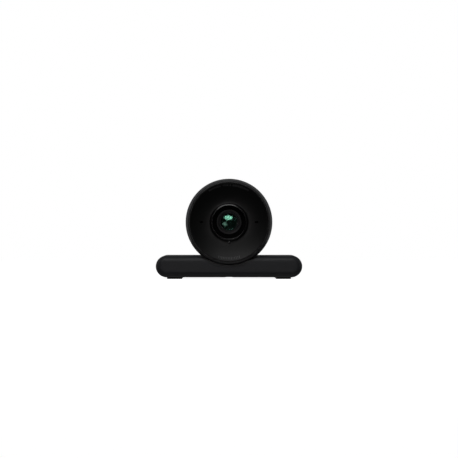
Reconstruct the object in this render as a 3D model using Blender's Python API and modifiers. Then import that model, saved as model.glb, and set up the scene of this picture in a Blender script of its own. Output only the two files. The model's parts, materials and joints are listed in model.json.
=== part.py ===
"""A round desk camera whose ball head pans and tilts in a pill-shaped base with a folding clip leg.

Metres, +Z up, the front faces -Y, the feet stand on z = 0. Lengths below are millimetres and become
metres where a mesh is made. Head pieces are drawn in the head's own frame, whose origin is the ball's
centre, X right, Y up and Z forward. Base pieces are drawn with X right, Y back and Z up, and y = 0 under
the ball's centre.
"""

import math

import bmesh
import bpy
from mathutils import Matrix, Vector

MM = 0.001
GAP = 0.3

# Driving dimensions of the head.
BALL_R = 25.0
BALL_HEIGHT = 32.75
RIM_FILLET_R = 1.6
RIM_FILLET_AT = 22.4
FACE_W = 8.27
SHELL_WALL = 2.0
SHELL_FRONT_W = 4.9
CAP_R = 14.6
RING_BACK_W = SHELL_FRONT_W + GAP
RING_WEB_W = RING_BACK_W + 1.0
RING_BORE_R = 22.95
SLEEVE_R = (21.3, 22.1)
SLEEVE_END_W = 3.2
BEZEL_R = RING_BORE_R - GAP
BEZEL_WALL = 1.3
SKIRT_R = (20.2, SLEEVE_R[0] - GAP)
SKIRT_END_W = 4.2
DISH_INNER_R = 11.5
DISH_INNER_W = 5.6
DISH_RISE = 2.65
LIP_W = 7.1
RECESS_R = 9.6
MIC_X = 15.9
LED_DROP = 11.8

# Lens and boards.
BARREL_R = 7.3
BARREL_FRONT_W = 3.0
GLASS_R = 4.9
FRAME_R = 19.9
FRAME_W = (1.9, 2.9)
FRAME_FLAT = -16.5
FRAME_SCREW_R = 17.0
FRAME_SCREW_ANGLES = (135.0, 210.0, 330.0)
BOARD_R = 14.3
BOARD_W = (-12.2, -11.0)
BOARD_FLAT = -13.0
BOARD_POST = (11.5, -3.0)
HOLDER_SCREW_X = 9.6

# Shutter gearing: an inner gear on the ring turns the blade's gear sector the same way.
RING_TEETH = 56
BLADE_TEETH = 20
RING_PITCH_R = 20.3
BLADE_PITCH_R = RING_PITCH_R * BLADE_TEETH / RING_TEETH
PIVOT_R = RING_PITCH_R - BLADE_PITCH_R
PIVOT_ANGLE = 45.0
ADDENDUM = 0.55
DEDENDUM = 0.7
BACKLASH = 0.16
BLADE_W = (3.3, 3.9)
BLADE_DISC_R = 5.3
BLADE_SWING = 71.24

# Base.
BASE_X = 42.15
BASE_Z = (0.95, 13.52)
BASE_Y = (-6.0, 41.0)
BASE_EDGE = 2.6
CRADLE_R = 26.4
CRADLE_WALL = 1.5
COVER_Z = (1.0, 2.4)
CAVITY_X = 36.6
CAVITY_Y = (-2.6, 14.2, 39.2)
CAVITY_TOP = 11.7
BAY_X = 24.0
BAY_WALL = 1.4
BAY_Y = 15.7
BAY_TOP = 6.4
FOOT_X = 31.3
FOOT_SIZE = (8.85, 6.0)
FOOT_TOP = 1.15
FOOT_Y = (1.5, 34.5)
BOSS_X = 31.25
BOSS_Y = (10.0, 25.0)

# Pan and tilt mechanism.
STUD_ANGLE = 22.0
STUD_R = 1.5
PAN_LIMIT = 45.0
TILT_DOWN = 18.0
TILT_UP = 22.0
ARM_Z = (2.75, 3.65)
ARM_HUB_R = 3.6
PIVOT_SHAFT_R = 2.0
FLOOR_BOSS_Z = (4.55, 6.05)
LINER_R = (25.4, 26.05)
LINER_ARC = (12.2, 41.0)
LINER_FRONT = -5.6
LINER_TOP = 12.3

# Clip leg.
LEG_X = BAY_X - GAP
LEG_Z = (1.4, 5.6)
LEG_TIP_Y = 16.3
HINGE_Y = 37.8
HINGE_Z = 3.7
HINGE_R = 2.4
HINGE_PIN_R = 1.1
MOUNT_PAD = (17.7, 19.3, 32.7)
LEG_PAD = (14.7, 18.8, 25.2)

# The box round the whole object is centred on Y.
BALL_Y = -(BASE_Y[1] - FACE_W) / 2


def clear_scene():
    for existing in list(bpy.data.objects):
        bpy.data.objects.remove(existing)


def new_collection(name):
    collection = bpy.data.collections.new(name)
    bpy.context.scene.collection.children.link(collection)
    return collection


def material(name, colour, roughness, metallic=0.0):
    made = bpy.data.materials.new(name)
    made.use_nodes = True
    shader = made.node_tree.nodes["Principled BSDF"]
    shader.inputs["Base Color"].default_value = (*colour, 1.0)
    shader.inputs["Roughness"].default_value = roughness
    shader.inputs["Metallic"].default_value = metallic
    return made


def axis_empty(name, location, parent=None, turned_to_face=False):
    """An empty on a joint's axis, given in world millimetres. Facing empties look forward along +Z."""
    empty = bpy.data.objects.new(name, None)
    empty.empty_display_size = 10 * MM
    PARTS.objects.link(empty)
    turn = Matrix.Rotation(math.radians(90), 4, "X") if turned_to_face else Matrix.Identity(4)
    world = Matrix.Translation(Vector(location) * MM) @ turn
    if parent:
        empty.parent = parent
        world = EMPTY_WORLD[parent.name].inverted() @ world
    empty.matrix_basis = world
    EMPTY_WORLD[name] = (EMPTY_WORLD[parent.name] if parent else Matrix.Identity(4)) @ world
    return empty


def place(name, mesh, look, parent):
    """A part in the parts collection when it has a material, a hidden cutter when it has none."""
    made = bpy.data.objects.new(name, mesh)
    if parent:
        made.parent = parent
    if look:
        PARTS.objects.link(made)
        mesh.materials.append(look)
    else:
        CUTTERS.objects.link(made)
        made.hide_render = True
        made.display_type = "WIRE"
    return made


def smooth(mesh, angle=32.0):
    mesh.shade_smooth()
    mesh.set_sharp_from_angle(angle=math.radians(angle))


def turned(name, profile, look, parent, steps=40, at=(0.0, 0.0)):
    """A profile of (radius, z) points turned about an axis along Z through (x, y)."""
    area = sum(a[0] * b[1] - b[0] * a[1] for a, b in zip(profile, profile[1:] + profile[:1]))
    points = list(profile) if area < 0 else list(reversed(profile))
    on_axis = [i for i, point in enumerate(points) if point[0] == 0.0]
    if on_axis:
        start = next(i for i in on_axis if points[i - 1][0] == 0.0)
        points = points[start:] + points[:start]
    edges = [(i, i + 1) for i in range(len(points) - 1)]
    if not on_axis:
        edges.append((len(points) - 1, 0))
    mesh = bpy.data.meshes.new(name)
    mesh.from_pydata([(r * MM, 0.0, z * MM) for r, z in points], edges, [])
    made = place(name, mesh, look, parent)
    made.location = (at[0] * MM, at[1] * MM, 0.0)
    screw = made.modifiers.new("turn", "SCREW")
    screw.axis = "Z"
    screw.steps = steps
    screw.render_steps = steps
    screw.use_merge_vertices = True
    screw.merge_threshold = 1e-6
    screw.use_smooth_shade = True
    return made


def sphere_arc(radius, start_w, end_w, count):
    """Points (r, w) on a sphere about the origin, from one depth to another."""
    start = math.asin(start_w / radius)
    end = math.asin(end_w / radius)
    angles = [start + (end - start) * i / (count - 1) for i in range(count)]
    return [(radius * math.cos(a), radius * math.sin(a)) for a in angles]


def arc(radius, start, end, count, centre=(0.0, 0.0)):
    """Points of a circular arc, in degrees."""
    angles = [math.radians(start + (end - start) * i / (count - 1)) for i in range(count)]
    return [(centre[0] + radius * math.cos(a), centre[1] + radius * math.sin(a)) for a in angles]


def circle(radius, centre=(0.0, 0.0), count=24):
    return arc(radius, 0.0, 360.0 - 360.0 / count, count, centre)


def polar(radius, degrees):
    return radius * math.cos(math.radians(degrees)), radius * math.sin(math.radians(degrees))


def plate(name, outlines, low, high, look, parent, along="Z"):
    """A flat outline with holes, extruded from low to high along Z, X or -Y."""
    curve = bpy.data.curves.new(name, "CURVE")
    curve.dimensions = "2D"
    curve.fill_mode = "BOTH"
    curve.extrude = (high - low) / 2 * MM
    for outline in outlines:
        spline = curve.splines.new("POLY")
        spline.points.add(len(outline) - 1)
        for point, (x, y) in zip(spline.points, outline):
            point.co = (x * MM, y * MM, 0.0, 1.0)
        spline.use_cyclic_u = True
    source = bpy.data.objects.new(name + "_outline", curve)
    PARTS.objects.link(source)
    graph = bpy.context.evaluated_depsgraph_get()
    mesh = bpy.data.meshes.new_from_object(source.evaluated_get(graph))
    bpy.data.objects.remove(source)
    shift = Matrix.Translation((0.0, 0.0, (low + high) / 2 * MM))
    turns = {
        "Z": Matrix.Identity(4),
        "X": Matrix(((0, 0, 1, 0), (1, 0, 0, 0), (0, 1, 0, 0), (0, 0, 0, 1))),
        "-Y": Matrix.Rotation(math.radians(90), 4, "X"),
    }
    mesh.transform(turns[along] @ shift)
    shape = bmesh.new()
    shape.from_mesh(mesh)
    bmesh.ops.remove_doubles(shape, verts=shape.verts, dist=1e-7)
    bmesh.ops.recalc_face_normals(shape, faces=shape.faces)
    if len(outlines) == 1:
        bmesh.ops.dissolve_limit(
            shape, angle_limit=math.radians(0.5), verts=shape.verts, edges=shape.edges
        )
    shape.to_mesh(mesh)
    shape.free()
    mesh.name = name
    smooth(mesh)
    return place(name, mesh, look, parent)


def box(name, x, y, z, look, parent):
    """A box between two coordinates on each axis."""
    shape = bmesh.new()
    bmesh.ops.create_cube(shape, size=1.0)
    size = Vector((x[1] - x[0], y[1] - y[0], z[1] - z[0])) * MM
    middle = Vector((x[0] + x[1], y[0] + y[1], z[0] + z[1])) * MM / 2
    bmesh.ops.transform(shape, matrix=Matrix.Translation(middle) @ Matrix.Diagonal((*size, 1)), verts=shape.verts)
    mesh = bpy.data.meshes.new(name)
    shape.to_mesh(mesh)
    shape.free()
    return place(name, mesh, look, parent)


def cylinder(name, radius, low, high, look, parent, at=(0.0, 0.0), top_radius=None, segments=24, along="Z"):
    """A cylinder or cone from low to high. Along X its centre (y, z) is given by at."""
    top = radius if top_radius is None else top_radius
    shape = bmesh.new()
    bmesh.ops.create_cone(
        shape,
        cap_ends=True,
        segments=segments,
        radius1=radius * MM,
        radius2=top * MM,
        depth=(high - low) * MM,
        matrix=Matrix.Translation((at[0] * MM, at[1] * MM, (low + high) / 2 * MM)),
    )
    if along == "X":
        turn = Matrix(((0, 0, 1, 0), (1, 0, 0, 0), (0, 1, 0, 0), (0, 0, 0, 1)))
        bmesh.ops.transform(shape, matrix=turn, verts=shape.verts)
    mesh = bpy.data.meshes.new(name)
    shape.to_mesh(mesh)
    shape.free()
    smooth(mesh)
    return place(name, mesh, look, parent)


def ball(name, radius, centre, parent, segments=48, rings=32):
    shape = bmesh.new()
    bmesh.ops.create_uvsphere(
        shape,
        u_segments=segments,
        v_segments=rings,
        radius=radius * MM,
        matrix=Matrix.Translation(Vector(centre) * MM),
    )
    mesh = bpy.data.meshes.new(name)
    shape.to_mesh(mesh)
    shape.free()
    return place(name, mesh, None, parent)


def combine(target, operation, *others):
    for other in others:
        boolean = target.modifiers.new(other.name, "BOOLEAN")
        boolean.operation = operation
        boolean.object = other
        boolean.solver = "EXACT"
    return target


def cut(target, *cutters):
    return combine(target, "DIFFERENCE", *cutters)


def join(target, *others):
    return combine(target, "UNION", *others)


def bevel(target, width, segments=2, angle=40.0):
    rounding = target.modifiers.new("edge", "BEVEL")
    rounding.width = width * MM
    rounding.segments = segments
    rounding.limit_method = "ANGLE"
    rounding.angle_limit = math.radians(angle)
    return target


# The base: shell, cover, liner, feet, screws, mount pad and hinge pin.


def base_outline():
    radius = (BASE_Z[1] - BASE_Z[0]) / 2
    middle = (BASE_Z[0] + BASE_Z[1]) / 2
    reach = BASE_X - radius
    right = arc(radius, -90.0, 90.0, 17, (reach, middle))
    left = arc(radius, 90.0, 270.0, 17, (-reach, middle))
    return right + left


def cavity_outline(inset):
    """The U-shaped hollow round the clip bay, seen from above, drawn in by an inset."""
    outer = CAVITY_X - inset
    inner = BAY_X + BAY_WALL + inset
    front = CAVITY_Y[0] + inset
    step = CAVITY_Y[1] - inset
    back = CAVITY_Y[2] - inset
    return [
        (-outer, front),
        (outer, front),
        (outer, back),
        (inner, back),
        (inner, step),
        (-inner, step),
        (-inner, back),
        (-outer, back),
    ]


def screw_places():
    return [(side * BOSS_X, y) for y in BOSS_Y for side in (-1, 1)]


def build_base_shell(look):
    centre = (0.0, 0.0, BALL_HEIGHT)
    shell = plate("base_shell", [base_outline()], -BASE_Y[1], -BASE_Y[0], look, BASE, along="-Y")
    bevel(shell, BASE_EDGE, segments=4)
    hollow = plate("cavity_cutter", [cavity_outline(0.0)], -1.0, CAVITY_TOP, None, BASE)
    wall = ball("cradle_wall", CRADLE_R + CRADLE_WALL, centre, BASE)
    floor = cylinder("cradle_floor", 7.5, FLOOR_BOSS_Z[0], 9.0, None, BASE)
    cut(hollow, wall, floor)
    hub_room = cylinder("hub_room", ARM_HUB_R + GAP, -1.0, FLOOR_BOSS_Z[0], None, BASE)
    for i, at in enumerate(screw_places()):
        cut(hollow, cylinder(f"boss_{i}", 2.6, 2.7, CAVITY_TOP + 1, None, BASE, at=at, segments=16))
    bay = box("bay_cutter", (-BAY_X, BAY_X), (BAY_Y, 60.0), (-1.0, BAY_TOP), None, BASE)
    cut(shell, hollow, hub_room, bay, ball("cradle_cutter", CRADLE_R, centre, BASE))
    counterbore = cylinder("floor_counterbore", 5.2, FLOOR_BOSS_Z[1], 12.0, None, BASE)
    pan_hole = cylinder("pan_hole", PIVOT_SHAFT_R + GAP, 3.0, 8.0, None, BASE)
    reach = PAN_LIMIT + 11.0
    slot_outline = arc(12.45, 90 - reach, 90 + reach, 19) + arc(7.9, 90 + reach, 90 - reach, 15)
    arm_slot = plate("arm_slot", [slot_outline], 3.9, 12.0, None, BASE)
    cut(shell, counterbore, pan_hole, arm_slot)
    for i, at in enumerate(screw_places()):
        cut(shell, cylinder(f"pilot_{i}", 0.8 + GAP, 2.0, 9.5, None, BASE, at=at, segments=12))
    pad_x, pad_front, pad_back = MOUNT_PAD
    pocket = box(
        "mount_pad_pocket",
        (-pad_x - GAP, pad_x + GAP),
        (pad_front - GAP, pad_back + GAP),
        (BAY_TOP - 1.0, BAY_TOP + 0.6),
        None,
        BASE,
    )
    pin_hole = cylinder(
        "hinge_hole", HINGE_PIN_R + GAP, -BAY_X - 1.6, BAY_X + 1.6, None, BASE, at=(HINGE_Y, HINGE_Z), along="X"
    )
    cut(shell, pocket, pin_hole)


def build_bottom_cover(look, screw_look):
    cover = plate("bottom_cover", [cavity_outline(GAP)], COVER_Z[0], COVER_Z[1], look, BASE)
    cut(cover, cylinder("pan_screw_hole", 3.6, 0.0, 4.0, None, BASE))
    for i, at in enumerate(screw_places()):
        sink = cylinder(f"screw_sink_{i}", 2.0, 0.0, 1.9, None, BASE, at=at, segments=16)
        hole = cylinder(f"screw_hole_{i}", 0.8 + GAP, 0.5, 4.0, None, BASE, at=at, segments=12)
        cut(cover, sink, hole)
        profile = [(0.0, 1.05), (1.7, 1.05), (1.7, 1.6), (0.8, 1.6), (0.8, 8.9), (0.0, 9.3)]
        turned(f"cover_screw_{i + 1}", profile, screw_look, BASE, steps=16, at=at)
    half_x = FOOT_SIZE[0] / 2 + GAP
    half_y = FOOT_SIZE[1] / 2 + GAP
    for i, (side, y) in enumerate((side, y) for y in FOOT_Y for side in (-1, 1)):
        x = side * FOOT_X
        pocket = box(
            f"foot_pocket_{i}",
            (x - half_x, x + half_x),
            (y - half_y, y + half_y),
            (0.0, FOOT_TOP + GAP),
            None,
            BASE,
        )
        cut(cover, pocket)


def build_feet(look):
    names = ("foot_front_left", "foot_front_right", "foot_rear_left", "foot_rear_right")
    places = [(side * FOOT_X, y) for y in FOOT_Y for side in (-1, 1)]
    for name, (x, y) in zip(names, places):
        half_x = FOOT_SIZE[0] / 2
        half_y = FOOT_SIZE[1] / 2
        foot = box(name, (x - half_x, x + half_x), (y - half_y, y + half_y), (0.0, FOOT_TOP), look, BASE)
        bevel(foot, 0.35, segments=1)


def build_base_small(liner_look, rubber, steel):
    inner, outer = LINER_R
    start, end = LINER_ARC
    angles = [start + (end - start) * i / 6 for i in range(7)]
    profile = []
    for radius, order in ((inner, angles), (outer, reversed(angles))):
        for angle in order:
            across, up = polar(radius, angle - 90.0)
            profile.append((across, BALL_HEIGHT + up))
    liner = turned("cradle_liner", profile, liner_look, BASE, steps=64)
    liner_front = box("liner_front", (-30.0, 30.0), (-40.0, LINER_FRONT), (0.0, 20.0), None, BASE)
    liner_top = box("liner_top", (-30.0, 30.0), (-30.0, 30.0), (LINER_TOP, 20.0), None, BASE)
    reach = PAN_LIMIT + 13.0
    slot_outline = arc(12.8, 90 - reach, 90 + reach, 19) + arc(7.6, 90 + reach, 90 - reach, 15)
    liner_slot = plate("liner_slot", [slot_outline], 3.9, 12.0, None, BASE)
    cut(liner, liner_front, liner_top, liner_slot)
    pad_x, pad_front, pad_back = MOUNT_PAD
    box("mount_pad", (-pad_x, pad_x), (pad_front, pad_back), (BAY_TOP - 0.4, BAY_TOP + 0.3), rubber, BASE)
    cylinder(
        "hinge_pin",
        HINGE_PIN_R,
        -BAY_X - 1.1,
        BAY_X + 1.1,
        steel,
        LEG,
        at=(0.0, 0.0),
        segments=16,
        along="X",
    )


# The pan arm and the pieces that clamp the head to it.


def stud_frame(name):
    """An empty at the ball's centre whose -Z runs out along the stud."""
    empty = axis_empty(name, (0.0, BALL_Y, BALL_HEIGHT), parent=PAN)
    empty.rotation_euler = (math.radians(STUD_ANGLE), 0.0, 0.0)
    return empty


def build_pan_arm(steel, dark_steel, pad_look):
    post_y = 11.4
    hub = circle(ARM_HUB_R, count=28)
    hole = circle(PIVOT_SHAFT_R + GAP, count=24)
    arm = plate("pan_arm", [hub, hole], ARM_Z[0] - BALL_HEIGHT, ARM_Z[1] - BALL_HEIGHT, steel, PAN)
    low = ARM_Z[0] - BALL_HEIGHT
    blade = box(
        "arm_bar", (-2.4, 2.4), (2.8, post_y), (low + 0.05, ARM_Z[1] - BALL_HEIGHT - 0.05), None, PAN
    )
    tip = cylinder("arm_tip", 2.4, low + 0.1, ARM_Z[1] - BALL_HEIGHT - 0.1, None, PAN, at=(0.0, post_y))
    post = cylinder("arm_post", 2.2, low + 0.3, 6.05 - BALL_HEIGHT, None, PAN, at=(0.0, post_y), segments=20)
    stud = cylinder("arm_stud", STUD_R, -30.0, -18.6, None, STUD, segments=20)
    join(arm, blade, tip, post, stud)

    def at_height(points):
        return [(r, z - BALL_HEIGHT) for r, z in points]

    pivot = [(0.0, 7.2), (4.8, 7.2), (4.8, 6.35), (2.0, 6.35), (2.0, 2.8), (1.3, 2.8), (1.3, 5.8), (0.0, 5.8)]
    turned("pan_pivot", at_height(pivot), dark_steel, PAN, steps=28)
    screw = [(0.0, 1.45), (2.6, 1.45), (2.6, 2.45), (1.0, 2.45), (1.0, 5.3), (0.0, 5.3)]
    turned("pan_screw", at_height(screw), dark_steel, PAN, steps=24)
    washer = [(2.4, 3.95), (ARM_HUB_R - 0.1, 3.95), (ARM_HUB_R - 0.1, 4.25), (2.4, 4.25)]
    turned("pan_wave_washer", at_height(washer), steel, PAN, steps=28)

    shoe_r = 4.0
    face = BALL_R - SHELL_WALL - GAP
    crown = [(r, -math.sqrt(face**2 - r**2)) for r in (1.8, 2.9, shoe_r)]
    turned("tilt_shoe", crown + [(shoe_r, -21.4), (1.8, -21.4)], pad_look, STUD, steps=28)
    spring = [(1.8, -21.1), (3.3, -21.1), (3.3, -20.75), (1.8, -20.75)]
    turned("tilt_spring_washer", spring, steel, STUD, steps=24)
    hexagon = arc(2.9, 0.0, 300.0, 6)
    plate("tilt_nut", [hexagon, circle(1.8, count=18)], -20.45, -19.0, dark_steel, STUD)


# The head: ball shell, cap, gland, bezel, frame, lens and electronics.


def build_head_shell(look):
    inner_r = BALL_R - SHELL_WALL
    opening = CAP_R + GAP
    outer_end = -math.sqrt(BALL_R**2 - opening**2)
    ledge_r = 13.4
    inner_end = -math.sqrt(inner_r**2 - ledge_r**2)
    outside = sphere_arc(BALL_R, SHELL_FRONT_W, outer_end, 12)
    ledge = [(opening, -19.0), (ledge_r, -19.0)]
    inside = sphere_arc(inner_r, inner_end, SHELL_FRONT_W, 8)
    shell = turned("head_shell", outside + ledge + inside, look, TILT, steps=40)
    reach = (STUD_ANGLE - TILT_DOWN - 5.0, STUD_ANGLE + TILT_UP + 5.0)
    # Angles run from straight down towards the back, which is -Z in this frame.
    start, end = -90.0 - reach[0], -90.0 - reach[1]
    outline = [(y, x) for x, y in arc(27.0, start, end, 17) + arc(21.0, end, start, 17)]
    slot = plate("stud_slot", [outline], -STUD_R - GAP, STUD_R + GAP, None, TILT, along="X")
    for i, angle in enumerate(FRAME_SCREW_ANGLES):
        at = polar(FRAME_SCREW_R, angle)
        join(shell, cylinder(f"column_{i}", 2.2, -14.5, FRAME_W[0] - GAP, None, TILT, at=at, segments=16))
    for i, angle in enumerate(FRAME_SCREW_ANGLES):
        at = polar(FRAME_SCREW_R, angle)
        cut(shell, cylinder(f"column_hole_{i}", 0.8 + GAP, -6.0, 3.0, None, TILT, at=at, segments=12))
    cut(shell, slot)


def build_rear_cap(look, gland_look):
    outer_edge = -math.sqrt(BALL_R**2 - CAP_R**2)
    dome = sphere_arc(BALL_R, outer_edge, -math.sqrt(BALL_R**2 - 3.6**2), 7)
    inner_r = BALL_R - 1.8
    under = sphere_arc(inner_r, -math.sqrt(inner_r**2 - 3.6**2), -math.sqrt(inner_r**2 - 12.6**2), 4)
    turned("rear_cap", dome + under + [(12.8, -19.3), (CAP_R, -19.3)], look, TILT, steps=36)
    gland = [
        (1.8, -27.0),
        (2.5, -27.0),
        (2.8, -26.7),
        (3.3, -24.6),
        (3.3, -22.4),
        (4.6, -22.4),
        (4.6, -21.4),
        (1.8, -21.4),
    ]
    turned("cable_gland", gland, gland_look, TILT, steps=20)


def dish_depth(radius):
    """Height of the dish's front face at a radius."""
    across = (radius - DISH_INNER_R) / (BEZEL_R - DISH_INNER_R)
    return DISH_INNER_W + DISH_RISE * max(across, 0.0) ** 1.6


def build_front_bezel(look):
    radii = [BEZEL_R - 0.15 - i * (BEZEL_R - DISH_INNER_R - 0.15) / 6 for i in range(7)]
    front = [(r, dish_depth(r)) for r in reversed(radii)]
    edge = [(BEZEL_R, front[-1][1] - 0.15), (BEZEL_R, RING_WEB_W + GAP)]
    skirt = [(SKIRT_R[1], RING_WEB_W + GAP), (SKIRT_R[1], SKIRT_END_W), (SKIRT_R[0], SKIRT_END_W)]
    back_radii = [SKIRT_R[0] - i * (SKIRT_R[0] - DISH_INNER_R) / 3 for i in range(4)]
    back = [(r, dish_depth(r) - BEZEL_WALL) for r in back_radii]
    mouth = [(RECESS_R, DISH_INNER_W - BEZEL_WALL), (RECESS_R, LIP_W - 0.25), (RECESS_R + 0.25, LIP_W)]
    lip = [(10.45, LIP_W), (10.95, LIP_W - 0.3), (11.3, LIP_W - 0.85)]
    profile = front + edge + skirt + back + mouth + lip
    bezel = turned("front_bezel", profile, look, TILT, steps=48)
    for side, name in ((-1, "left"), (1, "right")):
        ends = arc(0.55, -90.0, 90.0, 7, (side * MIC_X + 0.45, 0.0))
        ends += arc(0.55, 90.0, 270.0, 7, (side * MIC_X - 0.45, 0.0))
        cut(bezel, plate(f"mic_slot_{name}", [ends], 3.0, 9.0, None, TILT))
    cut(bezel, cylinder("led_hole", 0.8, 3.0, 9.0, None, TILT, at=(0.0, -LED_DROP), segments=16))
    for i, angle in enumerate((155.0, 240.0, 335.0)):
        tab = arc(SKIRT_R[1] - 0.06, angle - 9, angle + 9, 7) + arc(SKIRT_R[0] + 0.06, angle + 9, angle - 9, 7)
        join(bezel, plate(f"bezel_tab_{i}", [tab], 1.3, SKIRT_END_W + 0.5, None, TILT))


def build_mid_frame(look, screw_look, pin_look):
    start = math.degrees(math.asin(FRAME_FLAT / FRAME_R))
    outline = arc(FRAME_R, start, 180.0 - start, 49)
    holes = [circle(BARREL_R + GAP, count=36), circle(1.4, (0.0, -LED_DROP), 16)]
    holes += [circle(3.1, (side * MIC_X, 0.0), 24) for side in (-1, 1)]
    holes += [circle(0.8 + GAP, polar(FRAME_SCREW_R, angle), 16) for angle in FRAME_SCREW_ANGLES]
    holes.append(circle(1.3, polar(PIVOT_R, PIVOT_ANGLE), 16))
    frame = plate("mid_frame", [outline] + holes, FRAME_W[0], FRAME_W[1], look, TILT)
    for side in (-1, 1):
        at = (side * BOARD_POST[0], BOARD_POST[1])
        tag = "left" if side < 0 else "right"
        join(frame, cylinder(f"board_post_{tag}", 1.8, BOARD_W[1] + GAP, 2.0, None, TILT, at=at, segments=16))
        hole = cylinder(f"post_hole_{tag}", 0.6 + GAP, -12.0, -6.0, None, TILT, at=at, segments=12)
        cut(frame, hole)
        top = BOARD_W[0] - GAP
        profile = [(0.0, top - 0.8), (1.3, top - 0.8), (1.3, top), (0.6, top), (0.6, -6.6), (0.0, -6.6)]
        turned(f"board_screw_{tag}", profile, screw_look, TILT, steps=14, at=at)
    head = FRAME_W[1] + GAP
    profile = [(0.0, head + 0.8), (1.5, head + 0.8), (1.5, head), (0.8, head), (0.8, -5.4), (0.0, -5.4)]
    for i, angle in enumerate(FRAME_SCREW_ANGLES):
        at = polar(FRAME_SCREW_R, angle)
        turned(f"frame_screw_{i + 1}", profile, screw_look, TILT, steps=14, at=at)
    at = polar(PIVOT_R, PIVOT_ANGLE)
    cylinder("shutter_pin", 1.0, 0.8, 4.1, pin_look, TILT, at=at, segments=16)


def build_lens(barrel_look, ring_look, glass, holder_look, filter_look):
    front = BARREL_FRONT_W
    barrel = [
        (5.8, front - 0.35),
        (6.1, front),
        (BARREL_R - 0.25, front),
        (BARREL_R, front - 0.25),
        (BARREL_R, -1.2),
        (6.3, -1.2),
        (6.3, -7.0),
        (3.6, -7.0),
        (3.6, -4.2),
        (4.6, -4.2),
        (4.6, -0.8),
        (5.8, -0.8),
    ]
    turned("lens_barrel", barrel, barrel_look, TILT, steps=32)
    ring = [(GLASS_R, 1.9), (GLASS_R, 2.3), (GLASS_R + 0.3, 2.75), (5.5, 2.75), (5.5, 1.9)]
    turned("retainer_ring", ring, ring_look, TILT, steps=32)
    dome = [(r, 1.35 + 1.2 * (1.0 - (r / 4.5) ** 2)) for r in (0.0, 1.5, 2.8, 3.8, 4.5)]
    back = [(5.5, 1.35), (5.5, -0.5), (3.6, -0.5), (2.4, 0.15), (1.2, 0.5), (0.0, 0.6)]
    turned("front_element", dome + back, glass, TILT, steps=28)
    middle = [(0.0, -1.0), (2.0, -1.1), (3.4, -1.4), (4.3, -1.7), (4.3, -3.2), (2.0, -3.8), (0.0, -3.9)]
    turned("middle_element", middle, glass, TILT, steps=20)
    rear = [(0.0, -4.5), (1.8, -4.6), (3.3, -5.0), (3.3, -6.3), (1.8, -6.6), (0.0, -6.7)]
    turned("rear_element", rear, glass, TILT, steps=20)
    holder = [
        (6.6, -1.5),
        (8.4, -1.5),
        (8.4, -8.2),
        (9.0, -8.2),
        (9.0, -10.7),
        (7.0, -10.7),
        (7.0, -8.2),
        (5.0, -8.2),
        (5.0, -7.9),
        (6.6, -7.6),
    ]
    mount = turned("lens_holder", holder, holder_look, TILT, steps=28)
    for side in (-1, 1):
        tag = "left" if side < 0 else "right"
        at = (side * HOLDER_SCREW_X, 5.2)
        ear = cylinder(f"holder_ear_{tag}", 2.3, -10.5, -8.6, None, TILT, at=at, segments=16)
        bridge = box(
            f"ear_bridge_{tag}",
            sorted((side * 6.9, side * HOLDER_SCREW_X)),
            (3.3, 7.1),
            (-10.3, -8.8),
            None,
            TILT,
        )
        bridge_cut = cylinder(f"ear_bore_{tag}", 7.0, -11.0, -8.21, None, TILT, segments=36)
        hole = cylinder(f"ear_hole_{tag}", 0.6 + GAP, -12.0, -8.0, None, TILT, at=at, segments=12)
        join(mount, ear, bridge)
        cut(mount, bridge_cut, hole)
        top = BOARD_W[0] - GAP
        profile = [(0.0, top - 0.7), (1.2, top - 0.7), (1.2, top), (0.6, top), (0.6, -8.9), (0.0, -8.9)]
        turned(f"holder_screw_{tag}", profile, STEEL_DARK, TILT, steps=14, at=at)
    box("ir_filter", (-4.2, 4.2), (-4.2, 4.2), (-8.95, -8.5), filter_look, TILT)


def build_electronics(looks):
    board_start = math.degrees(math.asin(BOARD_FLAT / BOARD_R))
    rim = arc(BOARD_R, board_start, 180.0 - board_start, 41)
    holes = []
    for side in (-1, 1):
        holes.append(circle(0.6 + GAP, (side * BOARD_POST[0], BOARD_POST[1]), 12))
        holes.append(circle(0.6 + GAP, (side * HOLDER_SCREW_X, 5.2), 12))
    plate("main_board", [rim] + holes, BOARD_W[0], BOARD_W[1], looks["board"], TILT)
    face = BOARD_W[1] + GAP
    back = BOARD_W[0] - GAP
    box("image_sensor", (-4.0, 4.0), (-3.1, 3.1), (face, face + 1.0), looks["chip"], TILT)
    box("video_processor", (-4.5, 4.5), (-5.0, 4.0), (back - 1.0, back), looks["chip"], TILT)
    spreader = box(
        "heat_spreader", (-7.0, 7.0), (-6.0, 5.0), (back - 2.1, back - 1.3), looks["alloy"], TILT
    )
    bevel(spreader, 0.25, segments=1)
    header = box("wire_header", (-4.0, 4.0), (7.6, 11.6), (back - 3.4, back), looks["plastic"], TILT)
    slot = box("header_slot", (-3.2, 3.2), (8.5, 10.7), (back - 5.0, back - 1.2), None, TILT)
    cut(header, slot)
    box("status_led", (-0.8, 0.8), (-LED_DROP - 0.5, -LED_DROP + 0.5), (face, face + 0.6), looks["led"], TILT)
    pipe = [(0.0, face + 0.9), (0.9, face + 0.9), (0.9, 3.95), (0.5, 4.3), (0.5, 5.45), (0.0, 5.5)]
    turned("light_pipe", pipe, looks["clear"], TILT, steps=16, at=(0.0, -LED_DROP))
    for side, tag in ((-1, "left"), (1, "right")):
        boot = [(1.0, 4.1), (2.8, 4.1), (2.8, 0.9), (2.4, 0.9), (2.4, 3.4), (1.0, 3.4)]
        turned(f"mic_boot_{tag}", boot, looks["rubber"], TILT, steps=24, at=(side * MIC_X, 0.0))
        capsule = [(0.0, 3.1), (2.1, 3.1), (2.1, 0.9), (0.0, 0.9)]
        turned(f"microphone_{tag}", capsule, looks["alloy"], TILT, steps=20, at=(side * MIC_X, 0.0))


# The privacy ring and the shutter blade that it drives.


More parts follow.
